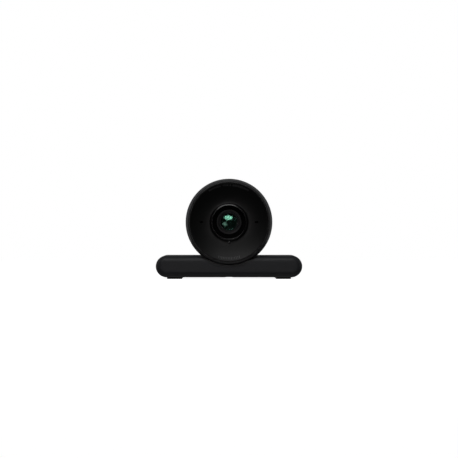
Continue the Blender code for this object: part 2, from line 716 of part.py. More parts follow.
def tooth(centre_angle, tip_r, root_r, pitch_r, half_pitch_angle):
    """One straight-flanked tooth as (angle, radius) steps: root, tip, tip, root."""
    slope = math.tan(math.radians(20.0))
    backlash = BACKLASH / 2 / pitch_r
    tip = half_pitch_angle - backlash - abs(tip_r - pitch_r) * slope / pitch_r
    root = half_pitch_angle - backlash + abs(root_r - pitch_r) * slope / pitch_r
    centre = math.radians(centre_angle)
    steps = [(-root, root_r), (-tip, tip_r), (tip, tip_r), (root, root_r)]
    return [(r * math.cos(centre + a), r * math.sin(centre + a)) for a, r in steps]


def build_privacy_ring(look):
    fillet_w = math.sqrt((BALL_R - RIM_FILLET_R) ** 2 - RIM_FILLET_AT**2)
    tangent = math.degrees(math.atan2(fillet_w, RIM_FILLET_AT))
    start = math.degrees(math.acos((RING_BORE_R - RIM_FILLET_AT) / RIM_FILLET_R))
    fillet = arc(RIM_FILLET_R, start, tangent, 6, (RIM_FILLET_AT, fillet_w))
    profile = fillet + sphere_arc(BALL_R, fillet[-1][1], RING_BACK_W, 4)[1:]
    profile += [(SLEEVE_R[1], RING_BACK_W), (SLEEVE_R[1], SLEEVE_END_W), (SLEEVE_R[0], SLEEVE_END_W)]
    profile += [(SLEEVE_R[0], RING_WEB_W), (RING_BORE_R, RING_WEB_W)]
    ring = turned("privacy_ring", profile, look, RING, steps=48)
    pitch = 360.0 / RING_TEETH
    root_r = RING_PITCH_R + DEDENDUM
    tip_r = RING_PITCH_R - ADDENDUM
    first = PIVOT_ANGLE - 4.5 * pitch
    inner = []
    for i in range(6):
        inner += tooth(first + i * pitch, tip_r, root_r, RING_PITCH_R, math.radians(pitch / 4))
    ends = (first - pitch * 0.6, first + 5.6 * pitch)
    outer = arc(21.7, ends[1], ends[0], 12)
    outline = [polar(root_r, ends[0])] + inner + [polar(root_r, ends[1])] + outer
    sector = plate("gear_sector", [outline], SLEEVE_END_W + 0.06, 3.85, None, RING)
    join(ring, sector)


def build_shutter(look):
    """The blade in its parked place, drawn about its own pivot."""
    pitch = 360.0 / BLADE_TEETH
    tip_r = BLADE_PITCH_R + ADDENDUM
    root_r = BLADE_PITCH_R - DEDENDUM
    teeth = []
    for i in range(7):
        centre = PIVOT_ANGLE + (i - 5) * pitch
        teeth += tooth(centre, tip_r, root_r, BLADE_PITCH_R, math.radians(pitch / 4))
    parked = PIVOT_ANGLE + 180.0 - BLADE_SWING
    disc_centre = polar(PIVOT_R, parked)
    half_width = 2.0
    side = math.degrees(math.asin(half_width / BLADE_DISC_R))
    disc = arc(BLADE_DISC_R, parked + 180.0 + side, parked + 540.0 - side, 33, disc_centre)
    neck = math.degrees(math.asin(half_width / 2.9))
    hub = arc(2.9, parked + neck, PIVOT_ANGLE - 5 * pitch - 8.0 + 360.0, 9)
    hub_other = arc(2.9, PIVOT_ANGLE + pitch + 8.0, parked - neck, 5)
    outline = teeth + hub_other + disc + hub
    hole = circle(1.3, count=16)
    plate("shutter_blade", [outline, hole], BLADE_W[0], BLADE_W[1], look, SHUTTER)


# The clip leg, drawn about its hinge axis.


def build_clamp_leg(look, rubber):
    low = LEG_Z[0] - HINGE_Z
    high = LEG_Z[1] - HINGE_Z
    tip = LEG_TIP_Y - HINGE_Y
    top_angle = 180.0 - math.degrees(math.asin(high / HINGE_R))
    bottom_angle = -180.0 - math.degrees(math.asin(low / HINGE_R))
    barrel = arc(HINGE_R, top_angle, bottom_angle, 19)
    tip_end = [(tip + 1.2, low), (tip + 0.3, low + 0.4), (tip, low + 1.3), (tip, high - 1.0), (tip + 1.0, high)]
    leg = plate(
        "clamp_leg", [barrel + tip_end, circle(HINGE_PIN_R + GAP, count=16)], -LEG_X, LEG_X, look, LEG, along="X"
    )
    pad_x, pad_front, pad_back = LEG_PAD
    pocket = box(
        "leg_pad_pocket",
        (-pad_x - GAP, pad_x + GAP),
        (pad_front - GAP - HINGE_Y, pad_back + GAP - HINGE_Y),
        (high - 0.8, high + 1.0),
        None,
        LEG,
    )
    groove = cylinder("finger_groove", 6.0, -10.0, 10.0, None, LEG, at=(tip + 2.4, low - 4.9), along="X")
    cut(leg, pocket, groove)
    box(
        "clamp_pad",
        (-pad_x, pad_x),
        (pad_front - HINGE_Y, pad_back - HINGE_Y),
        (high - 0.5, high + 0.1),
        rubber,
        LEG,
    )


clear_scene()
PARTS = new_collection("round_desk_camera")
CUTTERS = new_collection("cutters")
EMPTY_WORLD = {}
BASE = axis_empty("base_frame", (0.0, BALL_Y, 0.0))
PAN = axis_empty("pan_axis", (0.0, BALL_Y, BALL_HEIGHT))
TILT = axis_empty("tilt_axis", (0.0, BALL_Y, BALL_HEIGHT), parent=PAN, turned_to_face=True)
RING = axis_empty("ring_axis", (0.0, BALL_Y, BALL_HEIGHT), parent=TILT, turned_to_face=True)
PIVOT_XY = polar(PIVOT_R, PIVOT_ANGLE)
SHUTTER = axis_empty(
    "shutter_axis", (PIVOT_XY[0], BALL_Y, BALL_HEIGHT + PIVOT_XY[1]), parent=TILT, turned_to_face=True
)
LEG = axis_empty("leg_axis", (0.0, BALL_Y + HINGE_Y, HINGE_Z))
STUD = stud_frame("stud_axis")

SHELL_PLASTIC = material("satin_black_plastic", (0.012, 0.012, 0.013), 0.42)
DISH_PLASTIC = material("fine_textured_black", (0.006, 0.006, 0.006), 0.5)
INNER_PLASTIC = material("matt_black_plastic", (0.008, 0.008, 0.008), 0.6)
RUBBER = material("black_rubber", (0.01, 0.01, 0.01), 0.85)
LINER = material("grey_acetal", (0.25, 0.25, 0.24), 0.45)
STEEL = material("spring_steel", (0.45, 0.45, 0.46), 0.35, 1.0)
STEEL_DARK = material("blackened_steel", (0.05, 0.05, 0.055), 0.4, 1.0)
BARREL = material("black_anodised_aluminium", (0.01, 0.01, 0.012), 0.35, 0.6)
GLASS = material("coated_glass", (0.02, 0.07, 0.05), 0.03)
FILTER = material("infrared_filter_glass", (0.1, 0.3, 0.35), 0.05)
BOARD = material("green_circuit_board", (0.01, 0.09, 0.04), 0.4)
CHIP = material("chip_package", (0.02, 0.02, 0.022), 0.5)
ALLOY = material("brushed_aluminium", (0.6, 0.6, 0.62), 0.3, 1.0)
CONNECTOR = material("white_nylon", (0.6, 0.58, 0.52), 0.5)
LED = material("led_package", (0.7, 0.7, 0.6), 0.3)
CLEAR = material("clear_acrylic", (0.6, 0.6, 0.6), 0.1)

build_base_shell(SHELL_PLASTIC)
build_bottom_cover(INNER_PLASTIC, STEEL_DARK)
build_feet(RUBBER)
build_base_small(LINER, RUBBER, STEEL)
build_pan_arm(STEEL, STEEL_DARK, LINER)
build_head_shell(SHELL_PLASTIC)
build_rear_cap(SHELL_PLASTIC, RUBBER)
build_front_bezel(DISH_PLASTIC)
build_mid_frame(INNER_PLASTIC, STEEL_DARK, STEEL)
build_lens(BARREL, ALLOY, GLASS, INNER_PLASTIC, FILTER)
build_electronics(
    {
        "board": BOARD,
        "chip": CHIP,
        "alloy": ALLOY,
        "plastic": CONNECTOR,
        "led": LED,
        "clear": CLEAR,
        "rubber": RUBBER,
    }
)
build_privacy_ring(SHELL_PLASTIC)
build_shutter(INNER_PLASTIC)
build_clamp_leg(SHELL_PLASTIC, RUBBER)
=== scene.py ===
# %% [markdown]
# # A round desk camera, from frame to finish
# The camera is a ball head in a pill-shaped base. The frame holds its engineering model: the solids, the
# bodies that move and the joints between them. This lesson loads that frame, rebuilds the visible mouldings
# as smooth fine meshes in the same places, gives every piece a procedural finish, and sets a plain studio
# round it. Lengths in the text are millimetres, and become metres where a mesh is made.

import json
import math

import bmesh
import bpy
from mathutils import Matrix, Vector


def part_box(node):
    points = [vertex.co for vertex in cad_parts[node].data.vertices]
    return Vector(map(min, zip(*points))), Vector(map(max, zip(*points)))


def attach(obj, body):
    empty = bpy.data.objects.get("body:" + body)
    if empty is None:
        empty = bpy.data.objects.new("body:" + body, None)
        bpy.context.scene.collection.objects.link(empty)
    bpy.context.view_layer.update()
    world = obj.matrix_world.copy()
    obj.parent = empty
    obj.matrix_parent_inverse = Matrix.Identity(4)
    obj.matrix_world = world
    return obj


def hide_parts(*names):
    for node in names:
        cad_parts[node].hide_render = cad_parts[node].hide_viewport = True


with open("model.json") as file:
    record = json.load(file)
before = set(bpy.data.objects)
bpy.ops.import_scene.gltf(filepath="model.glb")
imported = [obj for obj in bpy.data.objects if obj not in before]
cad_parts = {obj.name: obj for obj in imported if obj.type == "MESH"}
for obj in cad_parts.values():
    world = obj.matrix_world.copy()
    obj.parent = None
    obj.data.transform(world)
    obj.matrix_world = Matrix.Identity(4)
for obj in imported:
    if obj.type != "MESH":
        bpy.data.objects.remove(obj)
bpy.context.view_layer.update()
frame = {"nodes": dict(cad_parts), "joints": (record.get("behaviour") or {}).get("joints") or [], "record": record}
NODES = frame["nodes"]
JOINTS = {joint["name"]: joint for joint in frame["joints"]}
MM = 0.001

shell_low, shell_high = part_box("head_shell")
BALL_R = (shell_high.x - shell_low.x) / 2 / MM
CENTRE = Vector(JOINTS["tilt"]["pos_m"])
HINGE = Vector(JOINTS["leg_fold"]["pos_m"])
print(f"ball radius {BALL_R:.2f} mm, centre {tuple(round(v / MM, 2) for v in CENTRE)}")

# %% [markdown]
# ## Two drawing frames
# The head is drawn looking along the lens: a point is (x, up, forward) from the ball's centre. The base is
# drawn standing up: a point is (x, back, up) with back measured from the ball's centre. Each piece is put
# in its place in its own mesh, so that its object can stay at the origin as the frame asks.


# %% Placing points
def facing(x, up, forward):
    """A point of the head, in metres, from its place about the ball's centre."""
    return CENTRE + Vector((x, -forward, up)) * MM


def standing(x, back, up):
    """A point of the base, in metres, with its height above the desk."""
    return Vector((x * MM, CENTRE.y + back * MM, up * MM))


def hinged(x, back, up):
    """A point of the leg, in metres, from its place about the hinge's axis."""
    return HINGE + Vector((x, back, up)) * MM


def polar(radius, degrees):
    """The two coordinates of a point on a circle about zero."""
    return radius * math.cos(math.radians(degrees)), radius * math.sin(math.radians(degrees))


print("the ball's front is at y =", round(facing(0.0, 0.0, BALL_R).y / MM, 2), "mm")


# %% [markdown]
# ## Rounded outlines
# A moulded edge is never sharp: a fillet of a few tenths of a millimetre catches a thin line of light. One
# could bevel each mesh afterwards, but a fillet drawn into the outline is exact and costs no clean-up. Each
# outline point is (a, b) or (a, b, fillet radius).


# %% Fillets in an outline
def rounded(outline, closed=True, parts=5):
    """The outline with each corner that names a radius replaced by an arc."""
    points = []
    count = len(outline)
    for i, corner in enumerate(outline):
        here = Vector(corner[:2])
        radius = corner[2] if len(corner) > 2 else 0.0
        inside = closed or 0 < i < count - 1
        if radius <= 0.0 or not inside:
            points.append(tuple(here))
            continue
        before = (Vector(outline[i - 1][:2]) - here).normalized()
        after = (Vector(outline[(i + 1) % count][:2]) - here).normalized()
        half = before.angle(after) / 2
        reach = radius / math.tan(half)
        centre = here + (before + after).normalized() * (radius / math.sin(half))
        first = here + before * reach - centre
        last = here + after * reach - centre
        sweep = first.angle_signed(last)
        for step in range(parts + 1):
            angle = -sweep * step / parts
            turn = Vector(
                (
                    first.x * math.cos(angle) - first.y * math.sin(angle),
                    first.x * math.sin(angle) + first.y * math.cos(angle),
                )
            )
            points.append(tuple(centre + turn))
    return points


def arc(radius, start, end, count, centre=(0.0, 0.0)):
    """Points along part of a circle, angles in degrees."""
    angles = [math.radians(start + (end - start) * i / (count - 1)) for i in range(count)]
    return [(centre[0] + radius * math.cos(a), centre[1] + radius * math.sin(a)) for a in angles]


def sphere_run(radius, start_w, end_w, count):
    """Outline points (r, forward) that follow a sphere about the ball's centre."""
    start, end = math.asin(start_w / radius), math.asin(end_w / radius)
    angles = [start + (end - start) * i / (count - 1) for i in range(count)]
    return [(radius * math.cos(a), radius * math.sin(a)) for a in angles]


print("a square with one soft corner has", len(rounded([(0, 0, 0.2), (1, 0), (1, 1), (0, 1)])), "points")


# %% [markdown]
# ## Making meshes
# A turned piece is an outline carried round an axis; a plate is an outline carried along one. Both are
# written as rings of points joined by quads, with one shared routine that merges, closes and faces the
# result outwards. Round pieces get 144 steps, so that the rim of the head stays a circle up close.


# %% Mesh helpers
TURN_STEPS = 144
SAME_POINT = 1e-7
ON_AXIS = 1e-6


def finish_mesh(name, shape, look, sharp=32.0):
    """A mesh object in the scene from a bmesh, merged, closed and shaded smooth up to an angle."""
    bmesh.ops.remove_doubles(shape, verts=shape.verts, dist=SAME_POINT)
    bmesh.ops.recalc_face_normals(shape, faces=shape.faces)
    mesh = bpy.data.meshes.new(name)
    shape.to_mesh(mesh)
    shape.free()
    mesh.shade_smooth()
    mesh.set_sharp_from_angle(angle=math.radians(sharp))
    made = bpy.data.objects.new(name, mesh)
    bpy.context.scene.collection.objects.link(made)
    if look:
        mesh.materials.append(look)
    return made


# %% [markdown]
# ### Turning an outline
# Most of the head is round: shell, rim, dish, barrel and glass are all turned or moulded round one axis. A
# Screw modifier could do it, but rings written one by one put the seam where it is wanted, and an outline that
# touches the axis gets one point there instead of many on top of each other.


# %% Turn an outline
def lathe(name, outline, look, place=facing, steps=TURN_STEPS, sharp=32.0):
    """Turns an outline of (radius, along) about the lens axis, or about the vertical for standing pieces."""
    shape = bmesh.new()
    rings = []
    for radius, along in outline:
        if radius < ON_AXIS:
            rings.append([shape.verts.new(place(0.0, 0.0, along))] * steps)
            continue
        spots = (polar(radius, 360.0 * i / steps) for i in range(steps))
        rings.append([shape.verts.new(place(x, y, along)) for x, y in spots])
    open_run = outline[0][0] < ON_AXIS and outline[-1][0] < ON_AXIS
    pairs = list(zip(rings, rings[1:] + rings[:1]))
    for first, second in pairs[:-1] if open_run else pairs:
        for i in range(steps):
            j = (i + 1) % steps
            corners = [first[i], first[j], second[j], second[i]]
            unique = [corner for k, corner in enumerate(corners) if corner not in corners[:k]]
            if len(unique) > 2:
                shape.faces.new(unique)
    return finish_mesh(name, shape, look, sharp)


# %% [markdown]
# ### Carrying an outline
# Plates, slots and bores are an outline carried in a straight line. Extruding a curve would do the same. A
# ring of points at each end is as short, and lets one routine serve the head, the base and the leg, which
# are each drawn in their own directions.


# %% Carry an outline
ALONG_X = (1, 2, 0)


def prism(name, outline, low, high, look, place, order=(0, 1, 2), sharp=32.0):
    """An outline carried from low to high; order says which of the place's axes a, b and the run are.

    With ALONG_X the outline lies in the second and third axes and is carried along the first.
    """
    shape = bmesh.new()
    rings = []
    for level in (low, high):
        ring = []
        for a, b in outline:
            values = (a, b, level)
            ring.append(shape.verts.new(place(*(values[order.index(k)] for k in range(3)))))
        rings.append(ring)
    count = len(outline)
    for i in range(count):
        j = (i + 1) % count
        shape.faces.new((rings[0][i], rings[0][j], rings[1][j], rings[1][i]))
    shape.faces.new(rings[0])
    shape.faces.new(rings[1])
    return finish_mesh(name, shape, look, sharp)


def block(name, x, back, up):
    """A plain box, used only as a cutter."""
    outline = [(x[0], back[0]), (x[1], back[0]), (x[1], back[1]), (x[0], back[1])]
    return prism(name, outline, *up, None, standing)


# %% [markdown]
# ### Cutting and shading
# Openings are cut with exact booleans after the main form is done, as the cores of a mould form them. The
# modifiers are applied at once, so that every later step works on a plain mesh. Weighted normals keep the
# big flat faces flat in the light where they meet a rounded edge.


# %% Cut and shade
def baked(source):
    """Applies an object's modifiers and returns it with the resulting mesh."""
    graph = bpy.context.evaluated_depsgraph_get()
    result = bpy.data.meshes.new_from_object(source.evaluated_get(graph))
    source.modifiers.clear()
    source.data = result
    return source


def carve(target, cutters, operation="DIFFERENCE"):
    """Cuts each shape out of the target, then throws the cutters away."""
    for cutter in cutters:
        cut = target.modifiers.new(cutter.name, "BOOLEAN")
        cut.operation = operation
        cut.object = cutter
        cut.solver = "EXACT"
    baked(target)
    for cutter in cutters:
        bpy.data.objects.remove(cutter)
    return target


def sharpen(target, degrees=40.0):
    """Keeps an edge sharp where its faces meet at more than the angle, after a cut or a sweep."""
    target.data.set_sharp_from_angle(angle=math.radians(degrees))


def even_shading(target):
    """Weights the normals by face size, so flat faces stay flat beside their rounded edges."""
    sharpen(target, 32.0)
    weighted = target.modifiers.new("weighted", "WEIGHTED_NORMAL")
    weighted.keep_sharp = True
    weighted.weight = 60
    return baked(target)


# %% [markdown]
# ### Handing a piece over
# Each finished piece names the body it moves with and the solids it stands for. One routine parents it to its
# body, hides those solids and prints the piece, so that none is forgotten.


# %% Hand a piece over
def own(piece, body, slot, *replaced):
    """Says which body a piece rides on and which solids it stands for; slot, the finish's name, is not used."""
    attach(piece, body)
    if replaced:
        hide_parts(*replaced)
    print(f"{piece.name}: {len(piece.data.polygons)} faces on {body}")
    return piece


# %% [markdown]
# ## Shared surface effects
# Three effects recur on every finish. Grain is the fine pitting of a spark-eroded mould. Cloud is the slow
# variation in gloss that handling and moulding leave. Turning is the set of fine rings that a lathe leaves.
# Each is a node group with named inputs, and puts out only values that change over the surface.


# %% Node helpers
def link(tree, source, target):
    """Joins two sockets of a tree."""
    tree.links.new(source, target)


def new_group(name, inputs, outputs):
    """An empty shader group with named number sockets."""
    group = bpy.data.node_groups.new(name, "ShaderNodeTree")
    for label, default in inputs.items():
        socket = group.interface.new_socket(label, in_out="INPUT", socket_type="NodeSocketFloat")
        socket.default_value = default
    for label in outputs:
        group.interface.new_socket(label, in_out="OUTPUT", socket_type="NodeSocketFloat")
    entry = group.nodes.new("NodeGroupInput")
    leave = group.nodes.new("NodeGroupOutput")
    return group, entry, leave


def node(tree, kind, **settings):
    """A new node with its settings set."""
    made = tree.nodes.new(kind)
    for name, value in settings.items():
        setattr(made, name, value)
    return made


def maths(tree, operation, *values):
    """A Math node fed with numbers or sockets; returns its result."""
    made = node(tree, "ShaderNodeMath", operation=operation)
    for socket, value in zip(made.inputs, values):
        if isinstance(value, (int, float)):
            socket.default_value = value
        else:
            link(tree, value, socket)
    return made.outputs[0]


# %% [markdown]
# ### Grain
# A moulded surface copies the fine pits that sparks leave in a steel mould. Two patterns give it: a fractal
# noise for unevenness, and rounded cells for the pits. The height goes to a bump, because pits of a few
# thousandths of a millimetre are too small to model.


# %% The grain group
def build_grain_group():
    """Fine mould pitting: Height for a bump, and a colour value that is darker where the grain is low, a painted
    shade in its pits.
    """
    group, entry, leave = new_group("mould_grain", {"Size mm": 0.25, "Depth": 1.0}, ("Height", "Tone and shade"))
    coords = node(group, "ShaderNodeTexCoord")
    scale = maths(group, "DIVIDE", 1000.0, entry.outputs["Size mm"])
    fine = node(group, "ShaderNodeTexNoise", noise_dimensions="3D")
    fine.inputs["Detail"].default_value = 3.0
    fine.inputs["Roughness"].default_value = 0.6
    link(group, coords.outputs["Object"], fine.inputs["Vector"])
    link(group, scale, fine.inputs["Scale"])
    pits = node(group, "ShaderNodeTexVoronoi", feature="SMOOTH_F1")
    link(group, coords.outputs["Object"], pits.inputs["Vector"])
    link(group, maths(group, "MULTIPLY", scale, 0.8), pits.inputs["Scale"])
    pitted = maths(group, "MULTIPLY", pits.outputs["Distance"], 0.7)
    mixed = maths(group, "ADD", fine.outputs["Fac"], pitted)
    link(group, maths(group, "MULTIPLY", mixed, entry.outputs["Depth"]), leave.inputs["Height"])
    # Painted shade: the colour value follows the grain's noise, darker where the bump is low.
    tone = maths(group, "MULTIPLY_ADD", fine.outputs["Fac"], 0.5, 0.75)
    link(group, tone, leave.inputs["Tone and shade"])
    return group


# %% [markdown]
# ### Cloud
# Gloss is never even, because hands polish it and a mould fills unevenly. A broad, slightly warped noise
# moves the roughness between two limits, which each finish sets for itself.


# %% The gloss group
def build_cloud_group():
    """Slow change of gloss over the surface, from Low to High."""
    group, entry, leave = new_group("gloss_cloud", {"Size mm": 12.0, "Low": 0.3, "High": 0.5}, ("Value",))
    coords = node(group, "ShaderNodeTexCoord")
    broad = node(group, "ShaderNodeTexNoise", noise_dimensions="3D")
    broad.inputs["Detail"].default_value = 4.0
    broad.inputs["Distortion"].default_value = 0.4
    link(group, coords.outputs["Object"], broad.inputs["Vector"])
    link(group, maths(group, "DIVIDE", 1000.0, entry.outputs["Size mm"]), broad.inputs["Scale"])
    spread = maths(group, "SUBTRACT", entry.outputs["High"], entry.outputs["Low"])
    value = maths(group, "MULTIPLY_ADD", broad.outputs["Fac"], spread, entry.outputs["Low"])
    link(group, value, leave.inputs["Value"])
    return group


# %% [markdown]
# ### Turning marks
# The barrel and its retainer are cut on a lathe, whose tool leaves a fine spiral. Rings about the lens axis
# stand for it: a sine of the distance from the axis, with a Mapping node to centre it on the ball.


# %% The turning group
def build_turning_group():
    """Rings round the lens axis: Height of lathe marks a given distance apart."""
    group, entry, leave = new_group("lathe_rings", {"Pitch mm": 0.2, "Depth": 1.0}, ("Height",))
    coords = node(group, "ShaderNodeTexCoord")
    centred = node(group, "ShaderNodeMapping")
    centred.inputs["Location"].default_value = tuple(-v for v in CENTRE)
    link(group, coords.outputs["Object"], centred.inputs["Vector"])
    apart = node(group, "ShaderNodeSeparateXYZ")
    link(group, centred.outputs["Vector"], apart.inputs["Vector"])
    squares = [maths(group, "MULTIPLY", apart.outputs[axis], apart.outputs[axis]) for axis in "XZ"]
    across = maths(group, "SQRT", maths(group, "ADD", *squares))
    turns = maths(group, "DIVIDE", maths(group, "MULTIPLY", across, 1000.0), entry.outputs["Pitch mm"])
    wave = maths(group, "SINE", maths(group, "MULTIPLY", turns, 2 * math.pi))
    link(group, maths(group, "MULTIPLY", wave, entry.outputs["Depth"]), leave.inputs["Height"])
    return group


GRAIN = build_grain_group()
CLOUD = build_cloud_group()
TURNING = build_turning_group()
print("node groups:", ", ".join(group.name for group in bpy.data.node_groups))


# %% [markdown]
# ## Finishes
# The camera is black all over, so what tells its materials apart is gloss and grain, not colour: a satin
# shell, a finely textured dish, matt rubber, anodised metal and coated glass. Each finish is a function of
# the shared groups with its own values. Black mouldings reflect only a few percent of the light, so the
# base colours here are far darker than one would pick by eye.


# %% A general finish
def group_node(tree, group, **values):
    """A group placed in a material with that material's own values."""
    made = node(tree, "ShaderNodeGroup", node_tree=group)
    for label, value in values.items():
        made.inputs[label.replace("_", " ")].default_value = value
    return made


def finish(name, colour, gloss, grain, metallic=0.0, specular=0.5, bump_mm=0.01, tone=0.35, rings=None):
    """A Principled material whose colour, roughness and normal all vary over the surface.

    gloss is (lowest roughness, highest, patch size mm), grain (size mm, depth), rings (pitch mm, depth).
    """
    look = bpy.data.materials.new(name)
    look.use_nodes = True
    tree = look.node_tree
    shader = tree.nodes["Principled BSDF"]
    shader.inputs["Metallic"].default_value = metallic
    shader.inputs["Specular IOR Level"].default_value = specular
    cloud = group_node(tree, CLOUD, Size_mm=gloss[2], Low=gloss[0], High=gloss[1])
    link(tree, cloud.outputs["Value"], shader.inputs["Roughness"])
    texture = group_node(tree, GRAIN, Size_mm=grain[0], Depth=grain[1])
    # The grain darkens the base colour in its low spots, a painted shade, and lightens it on its highs.
    mix = node(tree, "ShaderNodeMix", data_type="RGBA")
    mix.inputs["A"].default_value = (*(c * (1.0 - tone) for c in colour), 1.0)
    mix.inputs["B"].default_value = (*(c * (1.0 + tone) for c in colour), 1.0)
    link(tree, maths(tree, "SUBTRACT", texture.outputs["Tone and shade"], 0.5), mix.inputs["Factor"])
    link(tree, mix.outputs["Result"], shader.inputs["Base Color"])
    height = texture.outputs["Height"]
    if rings:
        marks = group_node(tree, TURNING, Pitch_mm=rings[0], Depth=rings[1])
        height = maths(tree, "ADD", height, marks.outputs["Height"])
    bump = node(tree, "ShaderNodeBump")
    bump.inputs["Strength"].default_value = 1.0
    bump.inputs["Distance"].default_value = bump_mm * MM
    link(tree, height, bump.inputs["Height"])
    link(tree, bump.outputs["Normal"], shader.inputs["Normal"])
    return look


# %% The plastics and rubbers
SATIN = finish(
    "satin_shell", (0.0395, 0.0405, 0.0445), (0.34, 0.46, 9.0), (0.22, 1.0), bump_mm=0.004, specular=0.28
)
RIM = finish("satin_rim", (0.045, 0.045, 0.047), (0.26, 0.36, 6.0), (0.18, 1.0), bump_mm=0.002)
DISH = finish(
    "textured_dish", (0.0032, 0.0032, 0.0032), (0.35, 0.44, 7.0), (0.16, 1.0), bump_mm=0.003, specular=0.3
)
LIP = finish(
    "polished_lip", (0.004, 0.004, 0.0042), (0.14, 0.2, 3.0), (0.14, 1.0), bump_mm=0.001, specular=0.8
)
INNER = finish(
    "inner_plastic", (0.0015, 0.0015, 0.0015), (0.6, 0.8, 5.0), (0.3, 1.0), bump_mm=0.006, specular=0.06
)
COVER = finish("cover_plastic", (0.009, 0.009, 0.0095), (0.5, 0.66, 8.0), (0.35, 1.0), bump_mm=0.012)
RUBBER = finish(
    "rubber", (0.008, 0.008, 0.0085), (0.72, 0.9, 3.0), (0.4, 1.0), bump_mm=0.02, specular=0.3
)
FELT = finish(
    "acoustic_felt", (0.002, 0.002, 0.002), (0.85, 0.95, 1.0), (0.12, 1.0), bump_mm=0.02, specular=0.05
)
ACETAL = finish("acetal", (0.035, 0.035, 0.036), (0.38, 0.5, 4.0), (0.2, 1.0), bump_mm=0.004, tone=0.15)
NYLON = finish("nylon", (0.6, 0.58, 0.52), (0.4, 0.55, 2.0), (0.2, 1.0), bump_mm=0.004, tone=0.08)
INK = finish("printed_ink", (0.06, 0.06, 0.062), (0.42, 0.55, 2.0), (0.1, 1.0), bump_mm=0.001, tone=0.2)
print("plastics and rubbers:", len(bpy.data.materials), "materials so far")

# %% The metals
SPRING = finish(
    "spring_steel",
    (0.15, 0.15, 0.155),
    (0.3, 0.44, 2.0),
    (0.12, 1.0),
    metallic=1.0,
    bump_mm=0.002,
    tone=0.1,
)
DARK_STEEL = finish(
    "dark_steel",
    (0.06, 0.06, 0.065),
    (0.32, 0.46, 1.5),
    (0.1, 1.0),
    metallic=1.0,
    bump_mm=0.003,
    tone=0.2,
)
ALLOY = finish(
    "alloy", (0.58, 0.58, 0.6), (0.25, 0.4, 2.0), (0.15, 1.0), metallic=1.0, bump_mm=0.003, tone=0.08
)
BARREL = finish(
    "barrel",
    (0.011, 0.011, 0.012),
    (0.34, 0.44, 2.0),
    (0.1, 0.4),
    metallic=0.35,
    bump_mm=0.004,
    rings=(0.22, 0.6),
)
RETAINER = finish(
    "retainer",
    (0.028, 0.029, 0.03),
    (0.28, 0.38, 1.5),
    (0.1, 0.4),
    metallic=0.5,
    bump_mm=0.003,
    rings=(0.15, 0.5),
)
print("with the metals:", len(bpy.data.materials), "materials")

# %% The electronics
BOARD = finish("circuit_board", (0.012, 0.1, 0.045), (0.25, 0.4, 3.0), (0.5, 1.0), bump_mm=0.01, tone=0.3)
CHIP = finish("chip", (0.02, 0.02, 0.022), (0.45, 0.6, 2.0), (0.12, 1.0), bump_mm=0.004)
LED = finish("led", (0.7, 0.7, 0.58), (0.2, 0.3, 1.0), (0.1, 1.0), bump_mm=0.001, tone=0.05)
print("with the electronics:", len(bpy.data.materials), "materials")

# %% [markdown]
# ## Glass
# Lens glass is clear, but its coating reflects a narrow band of colour: here a blue-green. A thin film
# computed by the renderer is one way; a tinted specular reflection is steadier and exports well. The front
# glass barely reflects, as good coatings do, while the element behind it carries the strong colour.


# %% Glass finishes
def glass_finish(name, tint, reflect_tint, roughness, index, transmission):
    """A glass whose roughness clouds a little, with its reflections tinted by the coating."""
    look = bpy.data.materials.new(name)
    look.use_nodes = True
    tree = look.node_tree
    shader = tree.nodes["Principled BSDF"]
    shader.inputs["Transmission Weight"].default_value = transmission
    shader.inputs["IOR"].default_value = index
    shader.inputs["Specular Tint"].default_value = (*reflect_tint, 1.0)
    cloud = group_node(tree, CLOUD, Size_mm=1.5, Low=roughness, High=roughness * 1.8)
    link(tree, cloud.outputs["Value"], shader.inputs["Roughness"])
    grain = group_node(tree, GRAIN, Size_mm=0.6, Depth=1.0)
    mix = node(tree, "ShaderNodeMix", data_type="RGBA")
    mix.inputs["A"].default_value = (*(c * 0.94 for c in tint), 1.0)
    mix.inputs["B"].default_value = (*tint, 1.0)
    link(tree, maths(tree, "SUBTRACT", grain.outputs["Tone and shade"], 0.5), mix.inputs["Factor"])
    link(tree, mix.outputs["Result"], shader.inputs["Base Color"])
    return look


FRONT_GLASS = glass_finish("front_glass", (0.93, 0.98, 0.97), (0.35, 1.0, 0.8), 0.01, 1.12, 1.0)
COATED_GLASS = glass_finish("coated_glass", (0.005, 0.0045, 0.0048), (0.4, 1.0, 0.72), 0.06, 2.2, 0.0)
FILTER_GLASS = glass_finish("filter_glass", (0.2, 0.5, 0.55), (0.6, 0.9, 1.0), 0.03, 1.5, 1.0)
CLEAR = glass_finish("smoked_clear", (0.015, 0.015, 0.017), (1.0, 1.0, 1.0), 0.08, 1.49, 1.0)
print("with the glasses:", len(bpy.data.materials), "materials")

# %% Finishes for the solids that stay
SLOT_LOOKS = {
    "satin_shell": SATIN,
    "textured_dish": DISH,
    "inner_plastic": INNER,
    "rubber": RUBBER,
    "acetal": ACETAL,
    "spring_steel": SPRING,
    "dark_steel": DARK_STEEL,
    "barrel": BARREL,
    "glass": COATED_GLASS,
    "filter_glass": FILTER_GLASS,
    "circuit_board": BOARD,
    "chip": CHIP,
    "alloy": ALLOY,
    "nylon": NYLON,
    "led": LED,
    "clear": CLEAR,
}
for part in frame["record"]["subparts"]:
    carried = NODES[part["node"]]
    carried.data.materials.clear()
    carried.data.materials.append(SLOT_LOOKS[part["material_slot"]])
NODES["bottom_cover"].data.materials[0] = COVER
for side in ("left", "right"):
    NODES[f"mic_boot_{side}"].data.materials[0] = FELT
    NODES[f"microphone_{side}"].data.materials[0] = FELT

# %% [markdown]
# ## The dish
# The front moulding is a shallow bowl that runs out to the rim and rises to a rounded lip round the lens.
# A spun outline is right for it: the light moves over it in rings. Two microphone slots and an indicator
# hole are cut through after turning, and the lip's faces get a more polished finish than the bowl's.

